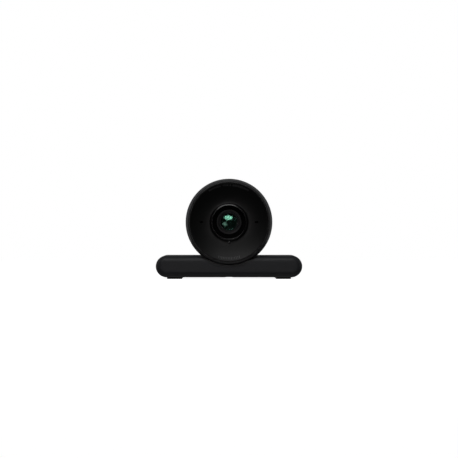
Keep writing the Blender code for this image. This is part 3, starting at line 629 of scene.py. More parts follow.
# %% The dish's outline
RING_BORE_R = 22.95
DISH_R = RING_BORE_R - 0.3
LIP_R = 11.5
LIP_W = 7.1
DISH_W = 5.6
DISH_RISE = 2.65
RECESS_R = 9.6
CREST_R = 0.12
SHOULDER_R = 1.2
LIP_LEAN = 83.0
MIC_X = 15.9
MIC_SLOT_R = 0.55
MIC_SLOT_HALF = 0.45
LED_DROP = 11.8
LED_R = 0.75
DISH_WALL = 1.3
THROUGH_DISH = (3.0, 9.0)


def dish_depth(radius):
    """How far forward the bowl is at a radius: flat by the lip, steeper by the rim."""
    across = max(0.0, (radius - LIP_R) / (DISH_R - LIP_R))
    return DISH_W + DISH_RISE * across**1.6


def dish_outline():
    """The dish cut through: front, rim, back, mouth and lip, in that order."""
    radii = [LIP_R + (DISH_R - 0.2 - LIP_R) * i / 30 for i in range(31)]
    front = [(r, dish_depth(r)) for r in radii]
    rim = arc(0.2, 90.0, 0.0, 5, (DISH_R - 0.2, dish_depth(DISH_R - 0.2) - 0.2))[1:]
    edge = [(DISH_R, 6.5), (21.0, 6.5), (21.0, 4.2), (20.2, 4.2)]
    back = [(r, dish_depth(r) - DISH_WALL) for r in (20.2, 17.3, 14.4, 11.5)]
    mouth = [(RECESS_R, DISH_W - DISH_WALL), (RECESS_R, LIP_W - CREST_R)]
    top = (RECESS_R + CREST_R, LIP_W - CREST_R)
    crest = arc(CREST_R, 180.0, LIP_LEAN, 4, top)
    back_off = polar(SHOULDER_R - CREST_R, LIP_LEAN)
    shoulder = arc(SHOULDER_R, LIP_LEAN, 18.0, 10, (top[0] - back_off[0], top[1] - back_off[1]))
    foot = arc(0.62, 198.0, 264.0, 7, (shoulder[-1][0] + 0.6, DISH_W + 0.64))
    return front + rim + edge + back + mouth + crest[1:] + shoulder + foot


print("the bowl is", DISH_RISE, "mm deep over", round(DISH_R - LIP_R, 2), "mm")

# %% Turn and cut the dish
dish = lathe("front_dish", dish_outline(), DISH, sharp=50.0)
cutters = []
for side in (-1, 1):
    ends = arc(MIC_SLOT_R, -90.0, 90.0, 13, (side * MIC_X + MIC_SLOT_HALF, 0.0))
    ends += arc(MIC_SLOT_R, 90.0, 270.0, 13, (side * MIC_X - MIC_SLOT_HALF, 0.0))
    cutters.append(prism(f"mic_cut_{side}", ends, *THROUGH_DISH, None, facing))
led_hole = arc(LED_R, 0.0, 345.0, 24, (0.0, -LED_DROP))
cutters.append(prism("led_cut", led_hole, *THROUGH_DISH, None, facing))
carve(dish, cutters)
sharpen(dish, 50.0)
dish.data.materials.append(LIP)
JUST_INSIDE = 0.15
for face in dish.data.polygons:
    across = math.hypot(face.center.x, face.center.z - CENTRE.z) / MM
    forward = (CENTRE.y - face.center.y) / MM
    if across < LIP_R - JUST_INSIDE and forward > DISH_W + JUST_INSIDE:
        face.material_index = 1
own(dish, "head", "textured_dish", "front_bezel")

# %% [markdown]
# ## The privacy ring
# The bright rim round the dish is a separate ring that turns to close a shutter. Its outline follows a
# rule, a fillet and a sphere zone carried round a circle, so Geometry Nodes make it: a profile curve swept
# along a circle. The sweep lays the profile flat round a circle of one metre, where no part of it can meet
# another, and each point is then moved to its place round the lens axis.

# %% Start and end a tree
RIM_FILLET_R = 1.6
RIM_FILLET_AT = 22.4
RIM_FILLET_W = math.sqrt((BALL_R - RIM_FILLET_R) ** 2 - RIM_FILLET_AT**2)
RIM_MEETS_BALL = RIM_FILLET_W * BALL_R / (BALL_R - RIM_FILLET_R)
print("the rim's fillet meets the ball", round(RIM_MEETS_BALL, 2), "mm forward")


def geometry_tree(name, inputs):
    """An empty geometry tree with named inputs; returns the tree, its input node and its output node."""
    tree = bpy.data.node_groups.new(name, "GeometryNodeTree")
    tree.interface.new_socket("Geometry", in_out="INPUT", socket_type="NodeSocketGeometry")
    for label, (kind, default) in inputs.items():
        socket = tree.interface.new_socket(label, in_out="INPUT", socket_type=kind)
        if default is not None:
            socket.default_value = default
    tree.interface.new_socket("Geometry", in_out="OUTPUT", socket_type="NodeSocketGeometry")
    return tree, tree.nodes.new("NodeGroupInput"), tree.nodes.new("NodeGroupOutput")


def close_tree(tree, entry, leave, geometry):
    """Ends a tree in Realize Instances and Set Material."""
    real = tree.nodes.new("GeometryNodeRealizeInstances")
    paint = tree.nodes.new("GeometryNodeSetMaterial")
    link(tree, geometry, real.inputs["Geometry"])
    link(tree, real.outputs["Geometry"], paint.inputs["Geometry"])
    link(tree, entry.outputs["Finish"], paint.inputs["Material"])
    link(tree, paint.outputs["Geometry"], leave.inputs["Geometry"])


# %% [markdown]
# ### Running a tree
# A tree runs on a carrier object. Its inputs are set by identifier before it is first evaluated, and the
# result is kept as a plain mesh, so that nothing live is left on the piece.


# %% Run a tree
def run_tree(name, tree, carrier, values):
    """Runs a tree on a carrier mesh with its inputs set, and keeps the result as a plain mesh."""
    holder = bpy.data.objects.new(name, carrier)
    bpy.context.scene.collection.objects.link(holder)
    modifier = holder.modifiers.new("nodes", "NODES")
    modifier.node_group = tree
    for item in tree.interface.items_tree:
        if item.in_out == "INPUT" and item.name in values:
            modifier[item.identifier] = values[item.name]
    return baked(holder)


def profile_curve(name, outline):
    """A closed flat curve from outline points, in metres, for a sweep."""
    curve = bpy.data.curves.new(name, "CURVE")
    curve.dimensions = "2D"
    spline = curve.splines.new("POLY")
    spline.points.add(len(outline) - 1)
    for point, (a, b) in zip(spline.points, outline):
        point.co = (a * MM, b * MM, 0.0, 1.0)
    spline.use_cyclic_u = True
    made = bpy.data.objects.new(name, curve)
    bpy.context.scene.collection.objects.link(made)
    return made


# %% The ring's outline
def ring_outline():
    """The ring cut through: inner lip, fillet, sphere zone and the step behind it."""
    tangent = math.degrees(math.atan2(RIM_FILLET_W, RIM_FILLET_AT))
    start = math.degrees(math.acos((RING_BORE_R + 0.08 - RIM_FILLET_AT) / RIM_FILLET_R))
    fillet = arc(RIM_FILLET_R, start, tangent, 14, (RIM_FILLET_AT, RIM_FILLET_W))
    inner_lip = [(RING_BORE_R, fillet[0][1] - 0.12), (RING_BORE_R + 0.025, fillet[0][1] - 0.04)]
    outside = fillet + sphere_run(BALL_R, fillet[-1][1], 5.35, 12)[1:]
    back = [(24.4, 5.2), (22.1, 5.2), (22.1, 3.2), (21.3, 3.2), (21.3, 6.2), (RING_BORE_R, 6.2)]
    return inner_lip + outside + back


outline_points = ring_outline()
print("ring outline:", len(outline_points), "points")


# %% The sweep tree
def sweep_tree():
    """Carries a flat outline round a circle of one metre."""
    inputs = {
        "Outline": ("NodeSocketObject", None),
        "Steps": ("NodeSocketInt", TURN_STEPS),
        "Finish": ("NodeSocketMaterial", None),
    }
    tree, entry, leave = geometry_tree("swept_ring", inputs)
    path = tree.nodes.new("GeometryNodeCurvePrimitiveCircle")
    path.inputs["Radius"].default_value = 1.0
    link(tree, entry.outputs["Steps"], path.inputs["Resolution"])
    outline = tree.nodes.new("GeometryNodeObjectInfo")
    link(tree, entry.outputs["Outline"], outline.inputs["Object"])
    to_mesh = tree.nodes.new("GeometryNodeCurveToMesh")
    link(tree, path.outputs["Curve"], to_mesh.inputs["Curve"])
    link(tree, outline.outputs["Geometry"], to_mesh.inputs["Profile Curve"])
    smooth = tree.nodes.new("GeometryNodeSetShadeSmooth")
    link(tree, to_mesh.outputs["Mesh"], smooth.inputs["Geometry"])
    close_tree(tree, entry, leave, smooth.outputs["Geometry"])
    return tree


# %% [markdown]
# ### Placing the sweep
# The sweep's distance from its circle is the point's radius, and its angle round the circle is the point's
# angle round the lens. Which way the profile faces depends on the curve's own normals, so the front is
# measured, and the piece is turned over if it came out backwards.


# %% Place the ring
def place_swept(piece, outline):
    """Checks which way the sweep laid the outline, and puts it round the lens axis."""
    shape = bmesh.new()
    shape.from_mesh(piece.data)
    for vert in shape.verts:
        x, y, z = vert.co
        swing = math.atan2(y, x)
        offset = math.hypot(x, y) - 1.0
        radius = abs(offset) / MM
        vert.co = facing(radius * math.cos(swing), radius * math.sin(swing), z / MM)
    lowest = min(v.co.y for v in shape.verts)
    expected = CENTRE.y - max(b for _, b in outline) * MM
    if abs(lowest - expected) > 0.05 * MM:
        for vert in shape.verts:
            vert.co.y = 2 * CENTRE.y - vert.co.y
    bmesh.ops.remove_doubles(shape, verts=shape.verts, dist=SAME_POINT)
    bmesh.ops.recalc_face_normals(shape, faces=shape.faces)
    shape.to_mesh(piece.data)
    shape.free()
    sharpen(piece)
    return piece


outline_object = profile_curve("ring_profile", outline_points)
carrier = bpy.data.meshes.new("ring_carrier")
ring = run_tree(
    "privacy_rim", sweep_tree(), carrier, {"Outline": outline_object, "Steps": TURN_STEPS, "Finish": RIM}
)
bpy.data.objects.remove(outline_object)
place_swept(ring, outline_points)
own(ring, "privacy_ring", "satin_shell", "privacy_ring")
print("rim front at", round((CENTRE.y - min(v.co.y for v in ring.data.vertices)) / MM, 2), "mm")

# %% [markdown]
# ## The ball shell and the rear cap
# Behind the rim the head is a sphere, open at the bottom where the stud of the pan arm comes in. The rear
# cap carries the same sphere on across a fine seam and holds the cable gland. A sphere primitive would put
# its poles in the wrong place; turning about the lens axis keeps the seams true circles.

# %% Turn the shell
CAP_R = 14.6
STUD_SLOT = (-1.0, 49.0)


def shell_outline():
    """The shell cut through: outside, the ledge for the cap, inside and front seam."""
    opening = CAP_R + 0.2
    outer_end = -math.sqrt(BALL_R**2 - opening**2)
    inner_r = BALL_R - 2.0
    outside = sphere_run(BALL_R, 4.75, outer_end + 0.15, 40)
    seam = [(24.4, 4.9), (22.45, 4.9)]
    ledge = [(opening + 0.05, outer_end + 0.05), (opening, outer_end + 0.2), (opening, -19.0), (13.4, -19.0)]
    inside = sphere_run(inner_r, -math.sqrt(inner_r**2 - 13.4**2), 4.75, 24)
    return outside + ledge + inside + seam[::-1]


shell = lathe("ball_shell", shell_outline(), SATIN, sharp=40.0)
slot_start, slot_end = -90.0 - STUD_SLOT[0], -90.0 - STUD_SLOT[1]
slot = [(y, x) for x, y in arc(27.0, slot_start, slot_end, 33) + arc(21.0, slot_end, slot_start, 33)]
carve(shell, [prism("slot_cut", slot, -1.8, 1.8, None, facing, order=ALONG_X)])
sharpen(shell)
own(shell, "head", "satin_shell", "head_shell")

# %% The cap's outline
def cap_outline():
    """The cap cut through: dome, cable hole, inside and rim."""
    edge_w = -math.sqrt(BALL_R**2 - (CAP_R - 0.15) ** 2)
    hole = 3.6
    dome = sphere_run(BALL_R, edge_w, -math.sqrt(BALL_R**2 - (hole + 0.2) ** 2), 24)
    inner_r = BALL_R - 1.8
    under = sphere_run(inner_r, -math.sqrt(inner_r**2 - hole**2), -math.sqrt(inner_r**2 - 12.6**2), 12)
    rim = [(12.8, -19.3), (CAP_R - 0.05, -19.3), (CAP_R, edge_w + 0.25)]
    return dome + [(hole, -24.55)] + under + rim


# %% [markdown]
# ### The gland
# The gland is a rubber nipple where the cable leaves, gripped between the cap and its own flange. Its ribs
# let it bend without kinking, so they get a fillet each, and the whole is turned like the rest.


# %% The gland's outline
def gland_outline():
    """The gland cut through, with its flange, its neck and four thinning ribs."""
    ribs = []
    for i in range(4):
        along = -24.9 - i * 0.5
        radius = 3.2 - i * 0.14
        ribs += [(radius, along), (radius, along - 0.28, 0.05)]
        ribs += [(radius - 0.3, along - 0.34), (radius - 0.3, along - 0.46)]
    body = [(1.8, -21.4, 0.1), (4.6, -21.4, 0.1), (4.6, -22.4, 0.1), (3.3, -22.4), (3.3, -24.6, 0.1)]
    return rounded(body + ribs + [(2.5, -26.98, 0.15), (1.8, -26.98, 0.15)])


# %% Turn the cap and the gland
cap = lathe("rear_dome", cap_outline(), SATIN, sharp=40.0)
own(cap, "head", "satin_shell", "rear_cap")
gland = lathe("cable_inlet", gland_outline(), RUBBER, steps=72, sharp=40.0)
own(gland, "head", "rubber", "cable_gland")

# %% [markdown]
# ## The lens
# The barrel sits in a black recess. Its face steps down to a threaded retainer with two key slots, then to
# a domed front glass. Behind it a second element carries the blue-green coating, set in a stepped black
# tunnel that ends in the aperture. Light traps like these steps are why a lens looks deep.

# %% Turn the barrel
BARREL_R = 7.3


def barrel_outline():
    """The barrel cut through: face, outside, and the steps of the tunnel."""
    steps = [
        (5.75, 2.65, 0.05),
        (6.15, 3.0, 0.1),
        (BARREL_R - 0.3, 3.0, 0.15),
        (BARREL_R, 2.7, 0.1),
        (BARREL_R, -1.2),
        (6.3, -1.2),
        (6.3, -7.0),
        (3.6, -7.0),
        (3.6, -4.2),
        (4.6, -4.2),
        (4.6, -0.8),
        (5.75, -0.8),
    ]
    return rounded(steps, parts=4)


barrel = lathe("lens_barrel_fine", barrel_outline(), BARREL, sharp=40.0)
own(barrel, "head", "barrel", "lens_barrel")

# %% [markdown]
# ### The retainer
# A threaded ring holds the front glass down. Two key slots in its face take the tool that turns it, and they
# are cut after turning, because a spun outline can't have them.

# %% Turn and slot the retainer
retainer_steps = [(4.95, 1.9), (4.95, 2.35, 0.05), (5.2, 2.72, 0.08), (5.5, 2.72, 0.05), (5.5, 1.9)]
retainer_outline = rounded(retainer_steps, parts=4)
retainer = lathe("lens_retainer", retainer_outline, RETAINER, sharp=40.0)
KEY_HALF = 0.4
keys = []
for side in (-1, 1):
    near, far = 4.0 * side, 6.0 * side
    key = [(near, -KEY_HALF), (far, -KEY_HALF), (far, KEY_HALF), (near, KEY_HALF)]
    keys.append(prism(f"key_cut_{side}", key, 2.4, 3.2, None, facing))
carve(retainer, keys)
own(retainer, "head", "alloy", "retainer_ring")

# %% [markdown]
# ### The glass
# Each element is a disc with a spherical face. The sphere's radius follows from the disc's own radius and
# the rise of its face, which is how a drawing gives it. The front glass is the more curved of the two.


# %% Turn the glass
def dome_outline(radius, edge_w, height, back_w, count=16):
    """A lens with a spherical front of the given rise, a ground edge and a flat back."""
    ball = (radius**2 + height**2) / (2 * height)
    limit = math.asin(radius / ball)
    dome = [
        (ball * math.sin(limit * i / count), edge_w + height - ball * (1 - math.cos(limit * i / count)))
        for i in range(count + 1)
    ]
    dome[0] = (0.0, edge_w + height)
    return dome + [(radius, back_w), (0.0, back_w)]


front_glass = lathe("front_lens", dome_outline(4.85, 1.35, 1.15, 0.7), FRONT_GLASS, sharp=40.0)
own(front_glass, "head", "glass", "front_element")
inner_glass = lathe("coated_lens", dome_outline(4.55, -0.9, 0.42, -1.5), COATED_GLASS, sharp=40.0)
own(inner_glass, "head", "glass", "middle_element")

# %% [markdown]
# ## The base
# The base is a pill drawn out backwards, with a generous edge, hollowed for the ball. It is lofted: each
# ring is the same pill drawn in a little, so that the edge is a true quarter round, softer in front than
# behind. The cradle, the clip bay and the hollow under it are then cut with fine cutters, and the cradle's
# mouth gets a small bevel where it meets the top and the front.

# %% The pill's size
base_low, base_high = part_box("base_shell")
BASE_X = base_high.x / MM
BASE_Z = (base_low.z / MM, base_high.z / MM)
BASE_BACK = ((base_low.y - CENTRE.y) / MM, (base_high.y - CENTRE.y) / MM)
PILL_R = (BASE_Z[1] - BASE_Z[0]) / 2
PILL_MID = (BASE_Z[1] + BASE_Z[0]) / 2
PILL_REACH = BASE_X - PILL_R
EDGE_R = 2.6
FRONT_EDGE_R = 3.5
CRADLE_R = 26.4


def pill(inset):
    """The base's outline from the front, drawn in by an inset."""
    right = arc(PILL_R - inset, -90.0, 90.0, 33, (PILL_REACH, PILL_MID))
    left = arc(PILL_R - inset, 90.0, 270.0, 33, (-PILL_REACH, PILL_MID))
    return right + left


# %% [markdown]
# ### The loft
# A bevel on the whole body would give the same edge, but its corners depend on the faces it meets. Rings
# that are drawn in along a quarter circle make it exact, and the same routine, drawn in a little more, later
# trims the liner.


# %% Loft the pill
def loft_pill(name, look, drawn_in=0.0):
    """The base's body, from rings of the pill drawn in towards both ends."""
    front, back = BASE_BACK[0] + drawn_in, BASE_BACK[1] - drawn_in
    quarter = [math.radians(90.0 * i / 12) for i in range(13)]
    levels = [(FRONT_EDGE_R * (1 - math.sin(a)), front + FRONT_EDGE_R * (1 - math.cos(a))) for a in quarter]
    levels += [(EDGE_R * (1 - math.sin(a)), back - EDGE_R * (1 - math.cos(a))) for a in reversed(quarter)]
    shape = bmesh.new()
    rings = []
    for inset, along in levels:
        rings.append([shape.verts.new(standing(x, along, z)) for x, z in pill(inset + drawn_in)])
    for first, second in zip(rings, rings[1:]):
        for i in range(len(first)):
            j = (i + 1) % len(first)
            shape.faces.new((first[i], first[j], second[j], second[i]))
    shape.faces.new(rings[0])
    shape.faces.new(rings[-1])
    return finish_mesh(name, shape, look)


# %% [markdown]
# ### Room inside
# Under the cover the base is hollow on three sides of the clip bay, and the ball's cradle hangs into it as a
# wall of even thickness. The hollow is therefore the U shape less a larger ball.


# %% Room inside
def cavity():
    """The U-shaped hollow that goes round the clip bay, seen from above."""
    outer, inner = 36.6, 25.4
    front, step, back = -2.6, 14.2, 39.2
    right = [(outer, front), (outer, back), (inner, back), (inner, step)]
    return [(-x, y) for x, y in reversed(right)] + right


def ball_cutter(name, radius):
    """A ball about the head's centre."""
    outline = [polar(radius, 90.0 - 180.0 * i / 80) for i in range(81)]
    outline[0] = (0.0, radius)
    outline[-1] = (0.0, -radius)
    lifted = [(max(r, 0.0), CENTRE.z / MM + z) for r, z in outline]
    return lathe(name, lifted, None, place=standing, steps=160)


base = loft_pill("base_body", SATIN)
print("lofted pill:", len(base.data.polygons), "faces")

# %% The hollow and the mouth's bevels
hollow = prism("hollow_cut", cavity(), -1.0, 11.7, None, standing)
floor_boss = lathe("floor_boss", [(0.0, 9.0), (7.5, 9.0), (7.5, 4.55), (0.0, 4.55)], None, standing, steps=48)
carve(hollow, [ball_cutter("cradle_wall", CRADLE_R + 1.5), floor_boss])
mouth_r = math.sqrt(CRADLE_R**2 - (CENTRE.z / MM - BASE_Z[1]) ** 2)
top_bevel = lathe(
    "mouth_bevel",
    [
        (0.0, BASE_Z[1] + 0.5),
        (mouth_r + 0.95, BASE_Z[1] + 0.5),
        (mouth_r - 0.55, BASE_Z[1] - 0.75),
        (0.0, BASE_Z[1] - 0.75),
    ],
    None,
    standing,
)
front_r = math.sqrt(CRADLE_R**2 - BASE_BACK[0] ** 2)
front_bevel = lathe(
    "front_mouth_bevel",
    [(0.0, 6.8), (front_r + 0.95, 6.8), (front_r - 0.35, 5.4), (0.0, 5.4)],
    None,
    facing,
)

# %% [markdown]
# ### Bores on the pan axis
# The pan arm's hub, its washer and its screw turn in three bores under the ball, and the arm comes up
# through a slot bent round the same axis. All the cuts are made in one go.


# %% Cut the base
def pan_bore(name, radius, top, bottom, steps=48):
    """A round cutter about the pan axis."""
    outline = [(0.0, top), (radius, top), (radius, bottom), (0.0, bottom)]
    return lathe(name, outline, None, standing, steps=steps)


hub_room = pan_bore("hub_room", 3.9, 4.55, -1.0)
counterbore = pan_bore("counterbore", 5.2, 12.0, 6.05, steps=64)
pan_hole = pan_bore("pan_hole", 2.3, 8.0, 3.0)
ARM_SLOT_Z = (3.9, 12.0)
arm_run = arc(12.45, 34.0, 146.0, 41) + arc(7.9, 146.0, 34.0, 31)
arm_slot = prism("arm_slot", arm_run, *ARM_SLOT_Z, None, standing)
bay = block("bay_cut", (-24.0, 24.0), (15.7, 60.0), (-1.0, 6.4))
pad_pocket = block("pad_pocket", (-18.0, 18.0), (19.0, 33.0), (5.4, 7.0))
carve(
    base,
    [
        hollow,
        hub_room,
        bay,
        ball_cutter("cradle_cut", CRADLE_R),
        top_bevel,
        front_bevel,
        counterbore,
        pan_hole,
        arm_slot,
        pad_pocket,
    ],
)
even_shading(base)
own(base, "base", "satin_shell", "base_shell")

# %% [markdown]
# ## The cradle's liner
# A thin slippery liner fills the gap between the ball and the cradle. It is turned as a bowl, left open at
# the bottom for the arm, and trimmed with the pill itself drawn in a little, so it stops just inside the
# cradle's mouth all the way round.

# %% Turn and trim the liner
LINER_R = (25.25, 26.3)
LINER_INSET = 0.45


def liner_outline():
    """The liner cut through: a bowl between two circles about the ball's centre."""
    inner, outer = LINER_R
    down = [-78.2 + 60.0 * i / 40 for i in range(41)]
    inside = [polar(inner, angle) for angle in down]
    outside = [polar(outer, angle) for angle in reversed(down)]
    return [(r, CENTRE.z / MM + z) for r, z in inside + outside]


liner = lathe("cradle_lining", liner_outline(), ACETAL, place=standing)
carve(liner, [loft_pill("liner_trim", None, LINER_INSET)], "INTERSECT")
liner_slot = arc(12.8, 32.0, 148.0, 41) + arc(7.6, 148.0, 32.0, 31)
carve(liner, [prism("liner_slot", liner_slot, *ARM_SLOT_Z, None, standing)])
sharpen(liner)
own(liner, "base", "acetal", "cradle_liner")

# %% [markdown]
# ## The clip leg
# Folded flat under the base, the leg is a plate with a hinge barrel at its back and soft corners at its
# tip. It is drawn from the side and carried across, then its tip corners are rounded by two cutters. A bore
# takes the hinge pin, a shallow room takes the rubber pad, and a groove lets a finger pull the leg down.

# %% Draw the leg
LEG_X = 23.7
LEG_LOW, LEG_HIGH = -2.3, 1.9
HINGE_R = 2.4
LEG_TIP = -21.5
TIP_CORNER_R = 4.0
PIN_BORE_R = 1.4
PAD_ROOM = (15.0, -19.3, -12.3, 0.8)
GRIP_R = 6.0
GRIP_HALF = 10.0


def leg_outline():
    """The leg from the side: round the hinge barrel, out along the bottom, round the tip and back."""
    top = 180.0 - math.degrees(math.asin(LEG_HIGH / HINGE_R))
    bottom = -180.0 - math.degrees(math.asin(LEG_LOW / HINGE_R))
    barrel_run = arc(HINGE_R, top, bottom, 41)
    tip = [(LEG_TIP, LEG_LOW, 1.3), (LEG_TIP, LEG_HIGH, 1.0)]
    drawn = rounded([barrel_run[-1]] + tip + [barrel_run[0]], closed=False, parts=8)
    return barrel_run[:-1] + drawn[:-1]


def tip_corner(side):
    """What lies outside a quarter round at one corner of the tip, seen from above."""
    middle = (side * (LEG_X - TIP_CORNER_R), LEG_TIP + TIP_CORNER_R)
    start = 270.0 if side > 0 else 180.0
    quarter = arc(TIP_CORNER_R, start, start + 90.0, 13, middle)
    beyond_x, beyond_tip = side * (LEG_X + 2.0), LEG_TIP - 2.0
    outside = [(beyond_x, middle[1]), (beyond_x, beyond_tip), (middle[0], beyond_tip)]
    return prism(f"corner_cut_{side}", quarter + outside[::side], -4.0, 4.0, None, hinged)


leg = prism("clip_leg", leg_outline(), -LEG_X, LEG_X, SATIN, hinged, order=ALONG_X)
print("leg:", len(leg.data.polygons), "faces before its cuts")

# %% Cut the leg
pin_bore = prism("pin_bore", arc(PIN_BORE_R, 0.0, 345.0, 24), -26.0, 26.0, None, hinged, order=ALONG_X)
room_x, room_tip, room_hinge, room_deep = PAD_ROOM
room = [(-room_x, room_tip), (room_x, room_tip), (room_x, room_hinge), (-room_x, room_hinge)]
pad_room = prism("leg_pad_room", room, LEG_HIGH - room_deep, LEG_HIGH + 1.0, None, hinged)
grip = arc(GRIP_R, 0.0, 354.0, 60, (LEG_TIP + 2.4, LEG_LOW - 4.9))
groove = prism("finger_groove", grip, -GRIP_HALF, GRIP_HALF, None, hinged, order=ALONG_X)
carve(leg, [tip_corner(-1), tip_corner(1), pin_bore, pad_room, groove])
even_shading(leg)
own(leg, "clamp_leg", "satin_shell", "clamp_leg")

# %% [markdown]
# ## Rubber
# The feet are soft blocks with rounded edges. The two pads that hold a monitor have fine ribs across them,
# so Geometry Nodes lay a rib along a line and repeat it: one tree serves both pads with its own sizes.


# %% The feet
def foot_outline(width, depth, corner=1.0):
    """A rectangle about zero with rounded corners."""
    half_x, half_y = width / 2, depth / 2
    corners = [(-half_x, -half_y), (half_x, -half_y), (half_x, half_y), (-half_x, half_y)]
    return rounded([(x, y, corner) for x, y in corners], parts=6)


def build_feet():
    """Four feet in one mesh, each in the box of its own solid."""
    shape = bmesh.new()
    names = ("foot_front_left", "foot_front_right", "foot_rear_left", "foot_rear_right")
    for name in names:
        low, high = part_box(name)
        middle = (low + high) / 2
        width, depth = (high.x - low.x) / MM, (high.y - low.y) / MM
        top = high.z / MM
        levels = [(0.45, 0.0), (0.2, 0.06), (0.05, 0.2), (0.0, 0.42), (0.0, top)]
        rings = []
        for inset, level in levels:
            outline = foot_outline(width - 2 * inset, depth - 2 * inset)
            spots = [(middle.x + a * MM, middle.y + b * MM, level * MM) for a, b in outline]
            rings.append([shape.verts.new(spot) for spot in spots])
        for first, second in zip(rings, rings[1:]):
            for i in range(len(first)):
                j = (i + 1) % len(first)
                shape.faces.new((first[i], first[j], second[j], second[i]))
        shape.faces.new(rings[0])
        shape.faces.new(rings[-1])
    made = finish_mesh("rubber_feet", shape, RUBBER, sharp=50.0)
    return own(made, "base", "rubber", *names)


build_feet()


# %% The rib tree
def ribs_tree():
    """Lays round ribs side by side along a line through zero."""
    inputs = {
        "Width": ("NodeSocketFloat", 0.03),
        "Rib radius": ("NodeSocketFloat", 0.00025),
        "Run": ("NodeSocketFloat", 0.01),
        "Ribs": ("NodeSocketInt", 8),
        "Finish": ("NodeSocketMaterial", None),
    }
    tree, entry, leave = geometry_tree("rubber_ribs", inputs)
    rib = tree.nodes.new("GeometryNodeMeshCylinder")
    rib.inputs["Vertices"].default_value = 12
    link(tree, entry.outputs["Rib radius"], rib.inputs["Radius"])
    link(tree, entry.outputs["Width"], rib.inputs["Depth"])
    lay = tree.nodes.new("GeometryNodeTransform")
    lay.inputs["Rotation"].default_value = (0.0, math.pi / 2, 0.0)
    link(tree, rib.outputs["Mesh"], lay.inputs["Geometry"])
    line = tree.nodes.new("GeometryNodeMeshLine")
    line.mode = "END_POINTS"
    half = node(tree, "ShaderNodeMath", operation="MULTIPLY")
    half.inputs[1].default_value = 0.5
    link(tree, entry.outputs["Run"], half.inputs[0])
    minus = node(tree, "ShaderNodeMath", operation="MULTIPLY")
    minus.inputs[1].default_value = -1.0
    link(tree, half.outputs[0], minus.inputs[0])
    for source, socket in ((minus, "Start Location"), (half, "Offset")):
        point = tree.nodes.new("ShaderNodeCombineXYZ")
        link(tree, source.outputs[0], point.inputs["Y"])
        link(tree, point.outputs["Vector"], line.inputs[socket])
    link(tree, entry.outputs["Ribs"], line.inputs["Count"])
    spread = tree.nodes.new("GeometryNodeInstanceOnPoints")
    link(tree, line.outputs["Mesh"], spread.inputs["Points"])
    link(tree, lay.outputs["Geometry"], spread.inputs["Instance"])
    close_tree(tree, entry, leave, spread.outputs["Instances"])
    return tree


# %% [markdown]
# ### The pads
# A pad keeps the box of its solid. Its face is lowered by half a rib, so that the ribs, half sunk in it,
# reach just as far as the solid does.


# %% Build the pads
def build_pad(name, node_name, body, ribs, rib_side):
    """A rounded rubber pad that keeps its solid's box, with half-sunk ribs on one side."""
    low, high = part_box(node_name)
    middle = (low + high) / 2
    width, depth = (high.x - low.x) / MM, (high.y - low.y) / MM
    bottom = low.z / MM + (RIB_R if rib_side < 0 else 0.0)
    top = high.z / MM - (RIB_R if rib_side > 0 else 0.0)
    outline = [(middle.x / MM + a, (middle.y - CENTRE.y) / MM + b) for a, b in foot_outline(width, depth)]
    pad = prism(name, outline, bottom, top, RUBBER, standing)
    values = {
        "Width": (width - 2 * RIB_END) * MM,
        "Rib radius": RIB_R * MM,
        "Run": (depth - 2 * RIB_EDGE) * MM,
        "Ribs": ribs,
        "Finish": RUBBER,
    }
    lines = run_tree(name + "_ribs", RIBS, bpy.data.meshes.new(name + "_carrier"), values)
    face = bottom if rib_side < 0 else top
    lines.data.transform(Matrix.Translation((middle.x, middle.y, face * MM)))
    own(pad, body, "rubber", node_name)
    own(lines, body, "rubber")
    return pad


RIBS = ribs_tree()
RIB_R = 0.22
RIB_END = 1.2
RIB_EDGE = 1.0
build_pad("monitor_pad", "mount_pad", "base", 12, -1)
build_pad("leg_grip_pad", "clamp_pad", "clamp_leg", 6, 1)


# %% [markdown]
# ## Screws
# Four cover screws and the pan screw show from below. A cross recess is cut into one head, and Geometry
# Nodes set that head on the four points where the screws go. The points come from the screws' own solids.


# %% A head with a cross recess
def screw_head(name, radius, height, recess):
    """A flat pan head with its face at zero looking down, with a cross recess."""
    side = [(0.0, 0.0), (radius, 0.0, 0.15), (radius, height), (0.0, height)]
    outline = rounded(side, closed=False, parts=4)

    def at_origin(x, y, z):
        return Vector((x, y, z)) * MM

    head = lathe(name, outline, DARK_STEEL, place=at_origin, steps=36, sharp=40.0)
    half = recess * 0.22
    cross = [
        (recess, -half),
        (recess, half),
        (half, half),
        (half, recess),
        (-half, recess),
        (-half, half),
        (-recess, half),
        (-recess, -half),
        (-half, -half),
        (-half, -recess),
        (half, -recess),
        (half, -half),
    ]
    carve(head, [prism(name + "_cross", cross, -1.0, height * 0.6, None, at_origin)])
    sharpen(head)
    return head


# %% [markdown]
# ### Setting the heads
# The tree takes the head as an object and puts a copy on every point of its carrier. The same tree serves
# the four cover screws and the one pan screw, each on its own body.


# %% Set the heads
def heads_tree():
    """Puts a screw head on every point of the carrier."""
    inputs = {"Head": ("NodeSocketObject", None), "Finish": ("NodeSocketMaterial", None)}
    tree, entry, leave = geometry_tree("screw_heads", inputs)
    info = tree.nodes.new("GeometryNodeObjectInfo")
    link(tree, entry.outputs["Head"], info.inputs["Object"])
    spread = tree.nodes.new("GeometryNodeInstanceOnPoints")
    link(tree, entry.outputs["Geometry"], spread.inputs["Points"])
    link(tree, info.outputs["Geometry"], spread.inputs["Instance"])
    close_tree(tree, entry, leave, spread.outputs["Instances"])
    return tree


def point_mesh(name, points):
    """A mesh of loose points, to carry instances."""
    mesh = bpy.data.meshes.new(name)
    mesh.from_pydata([tuple(point) for point in points], [], [])
    return mesh


